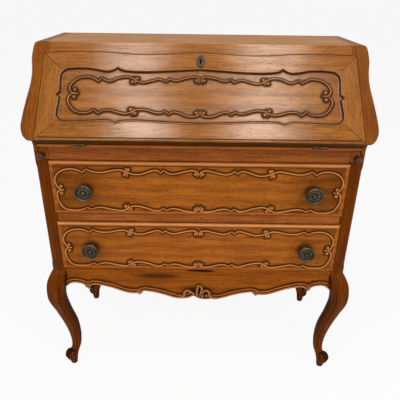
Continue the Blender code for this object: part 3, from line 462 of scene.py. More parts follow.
# Camera, light, floor
SENSOR_WIDTH, LENS = 36.0, 39.285
CAMERA_X, CAMERA_BEFORE, CAMERA_Z = 0.003, 1.0583, 1.129
CAMERA_TILT, CAMERA_ROLL = math.radians(64.0), math.radians(0.75)
camera = bpy.data.objects.new("camera", bpy.data.cameras.new("camera"))
SCENE.collection.objects.link(camera)
camera.data.sensor_width = SENSOR_WIDTH
camera.data.lens = LENS
camera.matrix_world = (Matrix.Translation((CAMERA_X, FRONT_Y - CAMERA_BEFORE, CAMERA_Z))
                       @ Matrix.Rotation(CAMERA_TILT, 4, "X") @ Matrix.Rotation(CAMERA_ROLL, 4, "Z"))
SCENE.camera = camera
SCENE.view_settings.view_transform = "Standard"


def lamp(name, at, aim, size, power):
    data = bpy.data.lights.new(name, "AREA")
    data.shape = "RECTANGLE"
    data.size, data.size_y = size
    data.energy = power
    made = bpy.data.objects.new(name, data)
    made.location = at
    made.rotation_euler = (Vector(aim) - Vector(at)).to_track_quat("-Z", "Y").to_euler()
    SCENE.collection.objects.link(made)
    return made


def sheen(made, power):
    """A second lamp in the same place that shows in the polish only."""
    data = made.data.copy()
    data.energy = power
    data.color = SHEEN_TINT
    glint = bpy.data.objects.new(made.name + "_sheen", data)
    glint.location, glint.rotation_euler = made.location, made.rotation_euler
    glint.visible_diffuse = False
    SCENE.collection.objects.link(glint)


SHEEN_TINT = (1.0, 0.91, 0.78)
DESK_MIDDLE = (0, 0, 0.55)
ROOM_LAMP_SIZE = (1.6, 1.6)
WINDOW_Z, WINDOW_AIM_BACK, WINDOW_AIM_Z = 2.45, 0.40, 0.85
# Windows that the polish mirrors: x, y, size, power, power of the sheen
WINDOWS = (
    ("left_pane", -0.378, -0.86, (0.30, 0.24), 2.2, 15.0),
    ("right_pane", 0.375, -0.86, (0.33, 0.24), 1.8, 28.0),
    ("left_window", -0.385, -0.605, (0.31, 0.25), 2.2, 5.5),
    ("right_window", 0.392, -0.605, (0.34, 0.25), 1.8, 14.5),
    ("left_crest", -0.385, -0.285, (0.31, 0.21), 1.0, 15.0),
    ("right_crest", 0.395, -0.300, (0.34, 0.23), 1.0, 24.0),
)
lamp("key", (-1.5, -2.4, 2.6), DESK_MIDDLE, ROOM_LAMP_SIZE, 35)
lamp("fill", (1.8, -2.2, 2.2), DESK_MIDDLE, ROOM_LAMP_SIZE, 30)
for name, x, y, size, power, gloss in WINDOWS:
    sheen(lamp(name, (x, y, WINDOW_Z), (x, y + WINDOW_AIM_BACK, WINDOW_AIM_Z), size, power), gloss)


def seen(tree):
    """1 for rays from the camera and for those off or through a surface, 0 for the light in the room."""
    path = node(tree, "LightPath")
    return maths(tree, "MAXIMUM", path.outputs["Is Camera Ray"],
                 maths(tree, "MAXIMUM", path.outputs["Is Glossy Ray"], path.outputs["Is Transmission Ray"]))


ROOM_LIGHT = 0.36
FLOOR_HALF = 90.0
FLOOR_GLOW = 0.90
world = bpy.data.worlds.new("studio")
SCENE.world = world
world.use_nodes = True
tree = world.node_tree
feed(tree, tree.nodes["Background"].inputs["Color"], (1, 1, 1, 1))
feed(tree, tree.nodes["Background"].inputs["Strength"], spread(tree, seen(tree), 0.0, 1.0, ROOM_LIGHT, 1.0))

bm = bmesh.new()
bmesh.ops.create_grid(bm, x_segments=1, y_segments=1, size=FLOOR_HALF)
floor_mesh = bpy.data.meshes.new("floor")
bm.to_mesh(floor_mesh)
bm.free()
floor = bpy.data.objects.new("floor", floor_mesh)
SCENE.collection.objects.link(floor)
floor_material, tree, shader = shader_of("floor_white")
for key, value in (("Base Color", (0.95, 0.95, 0.95, 1)), ("Roughness", 0.9), ("Specular IOR Level", 0.0)):
    feed(tree, shader.inputs[key], value)
glow = node(tree, "Emission").outputs[0]
blend = node(tree, "MixShader", {"Fac": maths(tree, "MULTIPLY", seen(tree), FLOOR_GLOW), 1: shader.outputs[0],
                                 2: glow})
feed(tree, tree.nodes["Material Output"].inputs["Surface"], blend.outputs[0])
floor_mesh.materials.append(floor_material)


# Plain boards: CAD node, finish and width of the eased edges; braces stand for left and right
BOARDS = (
    ("top_board", TOP, 0.0008), ("{}_wing", WING, 0.0018), ("frieze_rail", RAIL, 0.0008),
    ("drawer_divider_rail", RAIL, 0.0012), ("{}_side_panel", SIDE, 0.0006), ("{}_side_apron", DRAWER, 0.002),
    ("desk_bed", RAIL, 0.002), ("back_panel", OAK_Z, 0.0006), ("bottom_board", OAK_X, 0.0006),
    ("{}_drawer_runner", OAK_Y, 0.0006), ("{}_loper_guide", OAK_Y, 0.0004),
    ("pigeonhole_shelf", OAK_X, 0.0015), ("{}_pigeonhole_divider", OAK_Z, 0.0010),
    ("lid_{}_stile", STILE, 0.0008), ("{}_loper", DEPTHWISE, 0.0010), ("{}_inner_drawer", OAK_X, 0.0008),
    ("{}_hinge_bed_leaf", HINGE_METAL, 0.00025), ("{}_hinge_lid_leaf", HINGE_METAL, 0.00025),
    ("lock_case", BRASS, 0.0003), ("lock_bolt", STEEL, 0.0004),
)
WIDE_EDGE = 0.0015
DRAWER_EDGE = 0.0007
for pattern, finish, width in BOARDS:
    for side in LEFT_RIGHT if "{}" in pattern else ("",):
        softened(pattern.format(side), finish, width, 3 if width > WIDE_EDGE else 2)
for drawer in DRAWERS:
    for part, finish in (("left_side", OAK_Y), ("right_side", OAK_Y), ("back", OAK_X), ("bottom", OAK_X)):
        softened(f"{drawer}_drawer_{part}", finish, DRAWER_EDGE)

# Cheeks that close the case between the bed's ends and the wings' undersides
CHEEK = ((-0.1520, 0.763), (-0.1965, 0.763), (-0.1965, 0.7925), (-0.1670, 0.7905), (-0.1520, 0.7780))
CHEEK_WIDTH, CHEEK_GAP, CHEEK_EDGE = 0.0075, 0.0005, 0.0012
for side, sign in SIDES:
    bm = bmesh.new()
    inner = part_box("desk_bed")[1].x + CHEEK_GAP
    bridge(bm, [[bm.verts.new((sign * x, y, z)) for y, z in CHEEK] for x in (inner, inner + CHEEK_WIDTH)])
    bmesh.ops.recalc_face_normals(bm, faces=bm.faces)
    ease(bm, CHEEK_EDGE, 3)
    flat(piece(f"{side}_wing_cheek", bm, "case", WING))

# Rails of the fall front, and the rail above it in three lengths with joints between
TO_LID = LID_PLANE.inverted()
RAIL_JOINT, JOINT_GAP = 0.388, 0.00025
CREST_EDGE, CREST_FRONT, RAIL_EDGE = 0.0013, -0.01, 0.0006
TOP_FACE = 0.72
TOUCH = 1e-4
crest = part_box("top_front_rail")[1].z
for label, low, high, finish in (("left_end", -1.0, -RAIL_JOINT, WING),
                                 ("middle", -RAIL_JOINT, RAIL_JOINT, LID_RAIL),
                                 ("right_end", RAIL_JOINT, 1.0, WING)):
    bm = copy_of("top_front_rail")
    for at, away in ((low + JOINT_GAP, -1), (high - JOINT_GAP, 1)):
        made = bmesh.ops.bisect_plane(bm, geom=[*bm.verts, *bm.edges, *bm.faces], plane_co=(at, 0, 0),
                                      plane_no=(away, 0, 0), clear_outer=True)
        rim = [item for item in made["geom_cut"] if isinstance(item, bmesh.types.BMEdge)]
        if rim:
            bmesh.ops.holes_fill(bm, edges=rim)
    ease(bm, CREST_EDGE, 3, test=lambda a, b: min(a.z, b.z) > crest - TOUCH and max(a.y, b.y) < CREST_FRONT)
    ease(bm, RAIL_EDGE)
    made = flat(piece(f"top_front_rail_{label}", bm, "case", finish, ("top_front_rail",)))
    made.data.materials.append(TOP)
    for face in made.data.polygons:
        if face.normal.z > TOP_FACE:
            face.material_index = 1


def on_face(a, b):
    """Whether both ends of an edge lie in the fall front's outer face."""
    return min((TO_LID @ a).z, (TO_LID @ b).z) > LID_FACE - TOUCH


CORNER_X, LID_END_X = 0.39, 0.3965
CORNER_ROUND, LID_TOP_EDGE = 0.0045, 0.0010
bm = copy_of("lid_top_rail")
corner = max((TO_LID @ vert.co).y for vert in bm.verts if abs(vert.co.x) > CORNER_X)
ease(bm, CORNER_ROUND, 4, test=lambda a, b: min(abs(a.x), abs(b.x)) > LID_END_X and abs(a.x - b.x) < TOUCH
     and min((TO_LID @ a).y, (TO_LID @ b).y) > corner - 0.001)
ease(bm, LID_TOP_EDGE, 3, test=on_face)
flat(piece("lid_top_rail_soft", bm, "fall_front", LID_RAIL, ("lid_top_rail",)))

# A dark line painted in the joint above the fall front, along its shaped top edge: a painted shadow
JOINT_LOW, JOINT_OUT, JOINT_HALF, JOINT_RISE, JOINT_BASE = 232.0, 2.2, 2.6, 0.35, 21.5
JOINT = ((-1.0, -1.0, 1.0), (-1.0, 1.0, 1.0), (-0.2, 1.0, 1.0), (1.0, 0.4, 0.0), (1.0, -1.0, 0.0))
bm = copy_of("lid_top_rail")
front = broadest(bm, lambda normal: (TO_LID.to_3x3() @ normal).z > 0.9)
outline = [(TO_LID @ vert.co) / MM for vert in front.verts]
bm.free()
crown = sorted((spot.x, spot.y) for spot in outline if spot.y > JOINT_LOW)
bm = bmesh.new()
ridge(bm, even([(x, y + JOINT_OUT) for x, y in crown], 4.0), JOINT_HALF, JOINT_RISE, JOINT_BASE, taper=0.005,
      section=JOINT)
carved("lid_joint_shadow", bm, "case", LID_RAIL, LID_PLANE)

LOWER_ROUND, LOWER_BAND, LOWER_SPAN, LID_BOTTOM_EDGE = 0.0034, 0.0012, 0.05, 0.0008
END_BAND, END_FACE_SHADE = 0.003, 0.9
bm = copy_of("lid_bottom_rail")
ease(bm, LOWER_ROUND, 5, test=lambda a, b: max((TO_LID @ a).y, (TO_LID @ b).y) < LOWER_BAND
     and on_face(a, b) and abs(a.x - b.x) > LOWER_SPAN)
ease(bm, LID_BOTTOM_EDGE, angle=40.0)
# Painted shade on the rail's lower end face, under the fall front.
patina_and_painted_light = patina_and_light_layer(bm)
for vert in bm.verts:
    spot = TO_LID @ vert.co
    if spot.y < END_BAND:
        vert[patina_and_painted_light] = max(0.0, min(END_FACE_SHADE, (LID_FACE - 0.0012 - spot.z) / 0.002))
flat(piece("lid_bottom_rail_soft", bm, "fall_front", LID_RAIL, ("lid_bottom_rail",)))


# Carving of the fall front
LID_STROKES = (
    ((303, 129), (312, 127.5), (321, 133), (324.5, 145), (317, 160), (301, 171.5), (284, 174.5), (269, 172),
     (254, 163)),
    ((254, 163), (247, 171.5)),
    ((247, 171.5), (226, 163), (206, 172), (186, 176), (170, 171.5), (161.5, 165), (162.5, 157.5)),
    ((166, 175), (164, 167.5), (157, 163.5), (143, 160), (121, 165), (103, 170), (84, 163.5)),
    ((84, 163.5), (77.5, 171.5)),
    ((77.5, 171.5), (60, 166.5), (39, 173), (17, 177.5), (5.5, 175), (2.2, 168), (5, 161)),
    ((303, 126), (312, 128), (322, 122), (326, 110), (319, 93), (306, 79), (289, 74), (272, 76), (260, 83)),
    ((260, 83), (248, 73.5)),
    ((248, 73.5), (238, 80.5), (220, 82), (202, 77), (184, 73.5), (172, 76), (164, 81), (163, 88)),
    ((165, 70), (165.5, 77), (159, 82.5), (147, 85), (133, 84.5), (111, 77.5), (96, 76.5), (87, 81)),
    ((87, 81), (76, 73)),
    ((76, 73), (67, 79), (52, 77), (32, 68.5), (15, 67.5), (5, 71), (2, 77), (5, 83)),
)
LID_BALLS = ((311, 137.5), (311, 118), (169, 162), (158, 171), (9, 167), (170, 85), (158.5, 74.5), (9, 77))
DRAWER_STROKES = (
    ((5, 37), (2.2, 45), (7, 52), (20, 55), (42, 50), (66, 44.5), (80, 46.5), (93, 54)),
    ((93, 54), (100, 46)),
    ((100, 46), (107, 53), (119, 53.5), (136, 48), (156, 42), (174, 43), (186, 47.5), (191.5, 53), (190.5, 60)),
    ((187.5, 35), (187, 42.5), (194, 48.5), (205, 54), (222, 53), (245, 48), (263, 46.5), (281, 49.5),
     (293, 55.5)),
    ((293, 55.5), (305, 45.5)),
    ((305, 45.5), (316, 52.5), (335, 55.5), (355, 51.5), (371, 40), (378, 24), (376, 10), (367, -3.5),
     (357, -4)),
    ((357, -6), (367, -5), (375.5, -12), (377, -26), (373.5, -42), (362, -59), (340, -64.5), (315, -62.5),
     (301, -55.5)),
    ((301, -55.5), (290.5, -61.5)),
    ((290.5, -61.5), (278, -57), (263, -55), (233, -61), (209, -64.5), (196, -60), (189.5, -53),
     (191, -45.5)),
    ((190, -66.5), (191, -58.5), (183, -52.5), (167, -50), (144, -55), (119, -63), (106, -62.5), (97, -56)),
    ((97, -56), (86, -62)),
    ((86, -62), (75, -57), (58, -57.5), (36, -64), (17, -66), (6, -62.5), (2, -56), (5, -49)),
)
DRAWER_BALLS = ((9, 45), (184.5, 55), (194, 41), (364.5, 5), (365, -14), (197, -51.5), (183.5, -60.5), (9, -57))
BERRY = 5.6


def drawn(strokes):
    """Strokes as evenly spaced lines on both halves of a panel, each with whether it is a short tick."""
    return [(turn(even(smooth(stroke, 8), 1.6) if len(stroke) > 2 else even(stroke, 1.6)), len(stroke) == 2)
            for turn in (mirrored, list) for stroke in strokes]


def scrollwork(name, body, strokes, balls, base, plane, finish, rub_and_highlight, half=2.6, height=3.4, berry=BERRY):
    """Beads and berries on both halves of a panel."""
    bm = bmesh.new()
    for line, short in drawn(strokes):
        ridge(bm, line, half * (0.85 if short else 1.0), height, base, (0.58, 0.58), 0.5 if short else 0.18,
              rub_and_highlight=rub_and_highlight)
    for turn in (mirrored, list):
        for x, y in turn(balls):
            ball(bm, x, y, berry, base, rub_and_highlight=0.4 * rub_and_highlight)
    return carved(name, bm, body, finish, plane)


def carved_spots(strokes, balls):
    """Points along the beads and round the berries of a panel."""
    spots = [spot for line, _ in drawn(strokes) for spot in line]
    for turn in (mirrored, list):
        for x, y in turn(balls):
            spots += [(x + (BERRY - 2.0) * math.cos(math.radians(30 * step)),
                       y + (BERRY - 2.0) * math.sin(math.radians(30 * step))) for step in range(12)]
    return spots


def near(spots):
    """A function that gives the distance from a point to the nearest of some points."""
    tree = KDTree(len(spots))
    for at, (x, y) in enumerate(spots):
        tree.insert((x, y, 0), at)
    tree.balance()
    return lambda x, y: tree.find((x, y, 0))[2]


def fade(distance, full, gone):
    """1 up to a distance, falling to 0 at a larger one."""
    return max(0.0, min(1.0, (gone - distance) / (gone - full)))


LID_RUB_AND_HIGHLIGHT, LID_BEAD_HALF, LID_BEAD_HEIGHT, LID_BERRY = 0.28, 2.15, 3.1, 4.9
GROUND_STEP = 2.5
CROWN_DROP = 4.0


def ground_board(rings, wax_and_shade):
    """A board from the front face back, its face a fine net that holds old wax and painted shade round the
    carving.

    Each ring is a half width, a low and a high edge, a level, its patina and the patina of its top side, in
    millimetres; patina here also holds painted shade, and below 0 a painted highlight.
    """
    bm = bmesh.new()
    patina_and_painted_light = patina_and_light_layer(bm)
    wide, low, high, level, grime_and_painted_light, _ = rings[0]
    columns, rows = round(2 * wide / GROUND_STEP), round((high - low) / GROUND_STEP)
    net = []
    for row in range(rows + 1):
        y = low + (high - low) * row / rows
        net.append([])
        for column in range(columns + 1):
            x = -wide + 2 * wide * column / columns
            vert = bm.verts.new((x, y, level))
            vert[patina_and_painted_light] = max(grime_and_painted_light, wax_and_shade(x, y))
            net[-1].append(vert)
    for lower, upper in zip(net, net[1:]):
        for column in range(columns):
            bm.faces.new((lower[column], lower[column + 1], upper[column + 1], upper[column]))
    loops = []
    for wide, low, high, level, grime_and_painted_light, crown in rings[1:]:
        drop = min(CROWN_DROP, high - low)
        loop = []
        for x, y, painted_light_and_patina in ((-wide, low, grime_and_painted_light), (wide, low, grime_and_painted_light), (wide, high - drop, grime_and_painted_light),
                             (wide, high, crown), (-wide, high, crown), (-wide, high - drop, grime_and_painted_light)):
            loop.append(bm.verts.new((x, y, level)))
            loop[-1][patina_and_painted_light] = painted_light_and_patina
        loops.append(loop)
    inner = loops[0]
    bm.faces.new((*net[0], inner[1], inner[0]))
    bm.faces.new((*(row[-1] for row in net), inner[3], inner[2], inner[1]))
    bm.faces.new((*net[-1][::-1], inner[4], inner[3]))
    bm.faces.new((*(row[0] for row in net[::-1]), inner[0], inner[5], inner[4]))
    bridge(bm, loops, first_cap=False)
    return bm


scrollwork("lid_scrollwork", "fall_front", LID_STROKES, LID_BALLS, LID_PANEL_FACE / MM, LID_PLANE, LID_BOARD,
           LID_RUB_AND_HIGHLIGHT, LID_BEAD_HALF, LID_BEAD_HEIGHT, LID_BERRY)

# Opening of the fall front, in millimetres
OPENING_HALF, OPENING_LOW, OPENING_HIGH, OPENING_CUSP, OPENING_CORNER = 351.0, 50.5, 196.0, 8.5, 22.0


def lid_opening():
    """The shaped opening of the fall front, in millimetres, from the middle of its bottom round."""
    half, low, high, cusp, corner = OPENING_HALF, OPENING_LOW, OPENING_HIGH, OPENING_CUSP, OPENING_CORNER
    middle = (low + high) / 2
    low_corner = (half - corner * 0.29, low + corner * 0.29)
    high_corner = (half - corner * 0.29, high - corner * 0.29)
    runs = (
        ((0, low - cusp * 0.35), (half * 0.20, low), (half * 0.42, low + cusp * 0.45),
         (half * 0.54, low + cusp * 0.3), (half * 0.582, low - cusp * 0.4)),
        ((half * 0.582, low - cusp * 0.4), (half * 0.65, low + cusp * 0.45), (half * 0.80, low + cusp * 0.1),
         (half - corner, low - cusp * 0.1), low_corner, (half, low + corner),
         (half - cusp * 0.3, middle - cusp)),
        ((half - cusp * 0.3, middle - cusp), (half + cusp * 0.7, middle)),
        ((half + cusp * 0.7, middle), (half - cusp * 0.3, middle + cusp)),
        ((half - cusp * 0.3, middle + cusp), (half, high - corner), high_corner,
         (half - corner, high + cusp * 0.2), (half * 0.80, high + cusp * 0.4),
         (half * 0.66, high - cusp * 0.55), (half * 0.59, high + cusp * 0.8)),
        ((half * 0.59, high + cusp * 0.8), (half * 0.55, high - cusp * 0.2), (half * 0.42, high - cusp * 0.65),
         (half * 0.20, high - cusp * 0.2), (0, high + cusp * 0.4)),
    )
    line = []
    for run in runs:
        line += even(smooth(run, 8), 2.0)[:-1]
    return line + [runs[-1][-1]] + mirrored(line[:0:-1])


edge = lid_opening()
to_bead = near(carved_spots(LID_STROKES, LID_BALLS))
to_edge = near(edge)
panel = [TO_LID @ vert.co / MM for vert in frame["nodes"]["lid_panel"].data.vertices]
panel_half = max(spot.x for spot in panel)
panel_low, panel_high = min(spot.y for spot in panel), max(spot.y for spot in panel)
panel_back = min(spot.z for spot in panel)


LIP_OUT = 1.7


def lid_wax_and_shade(x, y):
    """Old wax and painted shade on the panel: round the beads and along the opening's edge."""
    return max(1.0 * fade(to_bead(x, y), 4.6, 10.0) ** 1.1, 0.60 * fade(to_edge(x, y), 3.0, 16.0) ** 1.5)


bm = ground_board(((panel_half - 1.0, panel_low + 1.0, panel_high - 1.0, LID_PANEL_FACE / MM, 0.0, 0.0),
                   (panel_half, panel_low, panel_high, LID_PANEL_FACE / MM - 1.0, 0.0, 0.0),
                   (panel_half, panel_low, panel_high, panel_back, 0.0, 0.0)), lid_wax_and_shade)
carved("lid_panel_ground", bm, "fall_front", LID_BOARD, LID_PLANE, ("lid_panel",), 35.0)
bm = bmesh.new()
lip = [(x - normal.x * LIP_OUT * mitre, y - normal.y * LIP_OUT * mitre)
       for (x, y), (normal, mitre) in zip(edge, normals_of(edge, True))]
ridge(bm, lip, 2.0, 1.5, LID_FACE / MM, closed=True, rub_and_highlight=0.12)
carved("lid_opening_lip", bm, "fall_front", LID_RAIL, LID_PLANE)

# Rounded corners of the opening: a filling in each, lapped by the frame's edges
FILL_SIDE, FILL_END = 3.0, 6.0
FILL_LEVELS = (LID_FACE / MM - 0.05, LID_PANEL_FACE / MM - 0.5)
bm = bmesh.new()
for end, away in ((OPENING_LOW, -1), (OPENING_HIGH, 1)):
    arc = [spot for spot in edge if spot[0] > OPENING_HALF - OPENING_CORNER - 1.0
           and (end - spot[1]) * away < OPENING_CORNER + 1.0]
    side, lap = OPENING_HALF + FILL_SIDE, end + away * FILL_END
    if away > 0:
        outline = arc + [(arc[-1][0], lap), (side, lap), (side, arc[0][1])]
    else:
        outline = arc + [(side, arc[-1][1]), (side, lap), (arc[0][0], lap)]
    for turn in (mirrored, list):
        bridge(bm, [[bm.verts.new((x, y, level)) for x, y in turn(outline)] for level in FILL_LEVELS])
carved("lid_opening_corners", bm, "fall_front", LID_RAIL, LID_PLANE, sharp=35.0)

# Cove between the opening's edge and the panel: distance in, height over the panel, wax; its dark band along
# the edge is painted shade and old wax
COVE = ((-0.2, -0.3, 1.0), (-0.2, 2.4, 1.0), (0.7, 1.2, 1.0), (3.0, 0.5, 1.0), (5.0, 0.12, 0.55),
        (7.5, 0.06, 0.0), (7.5, -0.3, 0.0))
bm = bmesh.new()
patina_and_painted_light = patina_and_light_layer(bm)
rings = []
for (x, y), (normal, mitre) in zip(edge, normals_of(edge, True)):
    ring = []
    for inset, rise, grime_and_painted_light in COVE:
        vert = bm.verts.new((x + normal.x * inset * mitre, y + normal.y * inset * mitre,
                             LID_PANEL_FACE / MM + rise))
        vert[patina_and_painted_light] = grime_and_painted_light
        ring.append(vert)
    rings.append(ring)
bridge(bm, rings, True)
carved("lid_opening_cove", bm, "fall_front", LID_BOARD, LID_PLANE)

# Bead along the fall front's lower edge; its ends, which lie on the lopers when the desk is open, are low
BEAD_END, BEAD_HALF, BEAD_RISE, BEAD_LOW_RISE = 396.2, 3.4, 2.0, 0.6
loper_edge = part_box("right_loper")[0].x / MM - 1.5
bm = bmesh.new()
for start, end, height in ((-BEAD_END, -loper_edge, BEAD_LOW_RISE), (-loper_edge, loper_edge, BEAD_RISE),
                           (loper_edge, BEAD_END, BEAD_LOW_RISE)):
    ridge(bm, even(((start, BEAD_HALF), (end, BEAD_HALF)), 8.0), BEAD_HALF, height, LID_FACE / MM - 0.2,
          taper=0.01, section=EDGE_BEAD, rub_and_highlight=0.0)
carved("lid_lower_bead", bm, "fall_front", LID_RAIL, LID_PLANE)


# Drawer fronts
# Edge moulding: distance in from the edge, distance behind the foremost plane, patina there and at the top. It
# is dark in the groove and at the outer edge, which is painted shade and old wax, and pale along the lip's top,
# which is wear and a painted highlight.
DRAWER_MOULDING = ((14.4, 1.8, 0.0, 0.0), (12.9, 1.9, 0.15, 0.15), (12.3, 2.7, 0.5, 0.7), (11.5, 2.7, 0.5, 0.7),
                   (11.0, 1.7, 0.2, 0.1), (10.2, 0.7, 0.0, 0.0), (8.8, 0.1, 0.0, 0.0), (7.2, 0.0, 0.0, -0.35),
                   (5.4, 0.4, 0.0, -0.8), (3.6, 1.5, 0.0, -0.8), (2.0, 3.2, 0.1, -0.4), (0.9, 5.2, 0.4, 0.1),
                   (0.3, 7.0, 0.8, 0.8), (0.0, 8.2, 1.0, 1.0))
SIDE_INSET = 1.25
# Painted shade towards the ends of each drawer front, strongest on the upper drawer.
END_SHADE = {"upper": 0.55, "lower": 0.22}
to_drawer_bead = near(carved_spots(DRAWER_STROKES, DRAWER_BALLS))


def drawer_front(label):
    low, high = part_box(f"{label}_drawer_front")
    centre = (low + high) / 2
    wide, tall = (high.x - centre.x) / MM, (high.z - centre.z) / MM
    face = (FRONT_Y - low.y) / MM
    rings = [(wide - inset * SIDE_INSET, inset - tall, tall - inset, face - depth, grime_and_painted_light, crown)
             for inset, depth, grime_and_painted_light, crown in DRAWER_MOULDING]
    # The lip's outer edge and its back are fully dark: painted shade round the drawer.
    rings += [(wide, -tall, tall, 0.3, 1.0, 1.0), (wide - 6.0, 5.1 - tall, tall - 5.1, 0.3, 1.0, 1.0),
              (wide - 6.0, 5.1 - tall, tall - 5.1, (FRONT_Y - high.y) / MM, 0.0, 0.0)]
    knobs = [(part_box(f"{label}_drawer_{side}_knob")[0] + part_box(f"{label}_drawer_{side}_knob")[1]) / 2
             for side in LEFT_RIGHT]
    to_knob = near([(knob.x / MM, (knob.z - centre.z) / MM) for knob in knobs])

    # Old wax and painted shade round the beads, a painted shadow round the knobs, and painted shade towards the
    # front's ends.
    def wax_and_shade(x, y):
        return max(0.95 * fade(to_drawer_bead(x, y), 4.4, 9.5) ** 1.2, 0.85 * fade(to_knob(x, y), 17.0, 30.0),
                   END_SHADE[label] * fade(wide - abs(x), 30.0, 190.0))

    bm = ground_board(rings, wax_and_shade)
    carved(f"{label}_drawer_front_moulded", bm, f"{label}_drawer", DRAWER,
           front_plane(FRONT_Y, centre.z), (f"{label}_drawer_front",), 35.0)
    scrollwork(f"{label}_drawer_scrollwork", f"{label}_drawer", DRAWER_STROKES, DRAWER_BALLS, 0.0,
               front_plane(low.y + 1.8 * MM, centre.z), DRAWER, 0.85)


for label in DRAWERS:
    drawer_front(label)


# Knobs
DOME, PETALS = 0.24, 0.74
ROSETTE_POINTS, PULL_POINTS = 96, 40
ROSETTE_FACE = [(0.02 + 0.96 * step / 36, None) for step in range(37)]
ROSETTE_BACK = [(1.0, 0.80), (0.97, 0.70), (0.82, 0.64), (0.55, 0.60), (0.40, 0.52), (0.36, 0.40), (0.38, 0.24),
                (0.44, 0.12), (0.50, 0.06), (0.50, 0.0)]
PULL = ((0.02, 1.0), (0.30, 0.985), (0.60, 0.93), (0.86, 0.82), (0.99, 0.67), (0.97, 0.55), (0.80, 0.43),
        (0.52, 0.34), (0.44, 0.24), (0.46, 0.12), (0.60, 0.05), (0.60, 0.0))


def rosette_height(share, angle):
    """Height of a rosette's face: a domed middle, petals and a beaded rim."""
    if share < DOME:
        return 0.94 + 0.06 * math.sqrt(max(0.0, 1 - (share / DOME) ** 2))
    if share < PETALS:
        petal = abs(math.cos(4 * angle)) ** 0.6
        return 0.86 + 0.075 * petal * math.sin(math.pi * (share - DOME) / (PETALS - DOME))
    swell = math.sin(math.pi * (share - PETALS) / (1 - PETALS))
    return 0.86 + 0.10 * swell * (0.86 + 0.14 * math.cos(24 * angle))


def pull(name, body, cad, profile, count, finish):
    """A round pull along y, in shares of the CAD pull's radius and length.

    A level of None takes the height of a rosette's face.
    """
    low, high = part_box(cad)
    radius, out = (high.x - low.x) / 2, high.y - low.y
    centre = (low + high) / 2
    bm = bmesh.new()
    rings = []
    for share, level in profile:
        ring = []
        for step, (across, up) in enumerate(circle(count)):
            height = rosette_height(share, 2 * math.pi * step / count) if level is None else level
            ring.append(bm.verts.new((centre.x + radius * share * across, high.y - out * height,
                                      centre.z + radius * share * up)))
        rings.append(ring)
    bridge(bm, rings)
    return piece(name, bm, body, finish, (cad,), sharp=50.0)


for drawer in DRAWERS:
    for side in LEFT_RIGHT:
        pull(f"{drawer}_{side}_rosette", f"{drawer}_drawer", f"{drawer}_drawer_{side}_knob",
             ROSETTE_FACE + ROSETTE_BACK, ROSETTE_POINTS, BRONZE)
for side in LEFT_RIGHT:
    for part, body, finish, slot in (("loper", "loper", KNOB_WOOD, "knob_wood"),
                                     ("inner", "inner_drawer", BRASS, "brass")):
        pull(f"{side}_{part}_pull", f"{side}_{body}", f"{side}_{part}_knob", smooth(PULL, 4), PULL_POINTS,
             finish)


# Escutcheon
RIM_WIDE, RIM_TALL, RIM_OUT = 8.6, 16.1, 2.2
softened("escutcheon", DARK_BRONZE, 0.0006)
escutcheon_low, escutcheon_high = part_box("escutcheon")
middle = TO_LID @ ((escutcheon_low + escutcheon_high) / 2)
bm = bmesh.new()
ring = [(RIM_WIDE * across, middle.y / MM + RIM_TALL * up) for across, up in circle(64)]
ridge(bm, ring, 1.5, 1.2, LID_FACE / MM + RIM_OUT, closed=True)
carved("escutcheon_rim", bm, "fall_front", RIM_BRONZE, LID_PLANE)


# Legs
LEG_HEIGHT = 0.380
POST = 0.037
POST_END = 0.395
CASE_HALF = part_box("right_side_panel")[1].x + 0.001
CASE_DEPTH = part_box("right_wing")[1].y - FRONT_Y
# Sections of a leg, from the top: share of its height, outer and inner offset in posts, roundness
LEG_SECTIONS = (
    (1.000, 0.000, 0.000, 0.00), (0.905, 0.530, 0.090, 0.26), (0.755, 0.650, 0.320, 0.46),
    (0.600, 0.265, 0.165, 0.52), (0.430, -0.140, -0.141, 0.50), (0.285, -0.378, -0.214, 0.46),
    (0.185, -0.378, -0.140, 0.55), (0.130, -0.220, 0.040, 0.80), (0.080, -0.150, 0.190, 0.90),
    (0.030, -0.100, 0.250, 0.90), (0.000, -0.180, 0.300, 0.85),
)
CORNER = math.radians(225)
POST_CHAMFER, CHAMFER_STOP = 0.0055, 0.010
CHAMFER_LOW, CHAMFER_HIGH = 0.402, 0.712
# Ring points: the fine ones near the inner front corner, in degrees
FINE_START, FINE_STEP, FINE_COUNT, WIDE_COUNT = 200, 2.2, 34, 40
# Strip and groove along that corner: run from the corner, width and size in millimetres
STRIP_RUN, STRIP_WIDTH, STRIP_RISE = 4.5, 3.2, 0.9
GROOVE_RUN, GROOVE_WIDTH, GROOVE_DEPTH = 9.0, 1.3, 1.7
STRIP_TOP, STRIP_TOP_FADE, STRIP_FOOT, STRIP_FOOT_FADE = 0.352, 0.03, 0.052, 0.02
SHADE_TOP = 0.37
HOLE_GAP, HOLE_DEEPER, HOLE_WIDER = 0.0006, 0.02, 0.01


def leg_angles():
    """Ring angles, closer together at the inner front corner, where the leg carries a bead."""
    span = FINE_STEP * FINE_COUNT
    fine = [math.radians(FINE_START + FINE_STEP * step) for step in range(FINE_COUNT)]
    wide = [math.radians(FINE_START + span + step * (360 - span) / WIDE_COUNT) for step in range(WIDE_COUNT)]
    turn = math.atan2(POST / 2 - POST_CHAMFER, POST / 2)
    return sorted(fine + wide + [math.radians(360) - turn, math.radians(270) + turn])


def chamfer_at(level):
    """How much the outer front corner of a post is cut off at a height."""
    return POST_CHAMFER * max(0.0, min(1.0, (level - CHAMFER_LOW) / CHAMFER_STOP,
                                       (CHAMFER_HIGH - level) / CHAMFER_STOP))


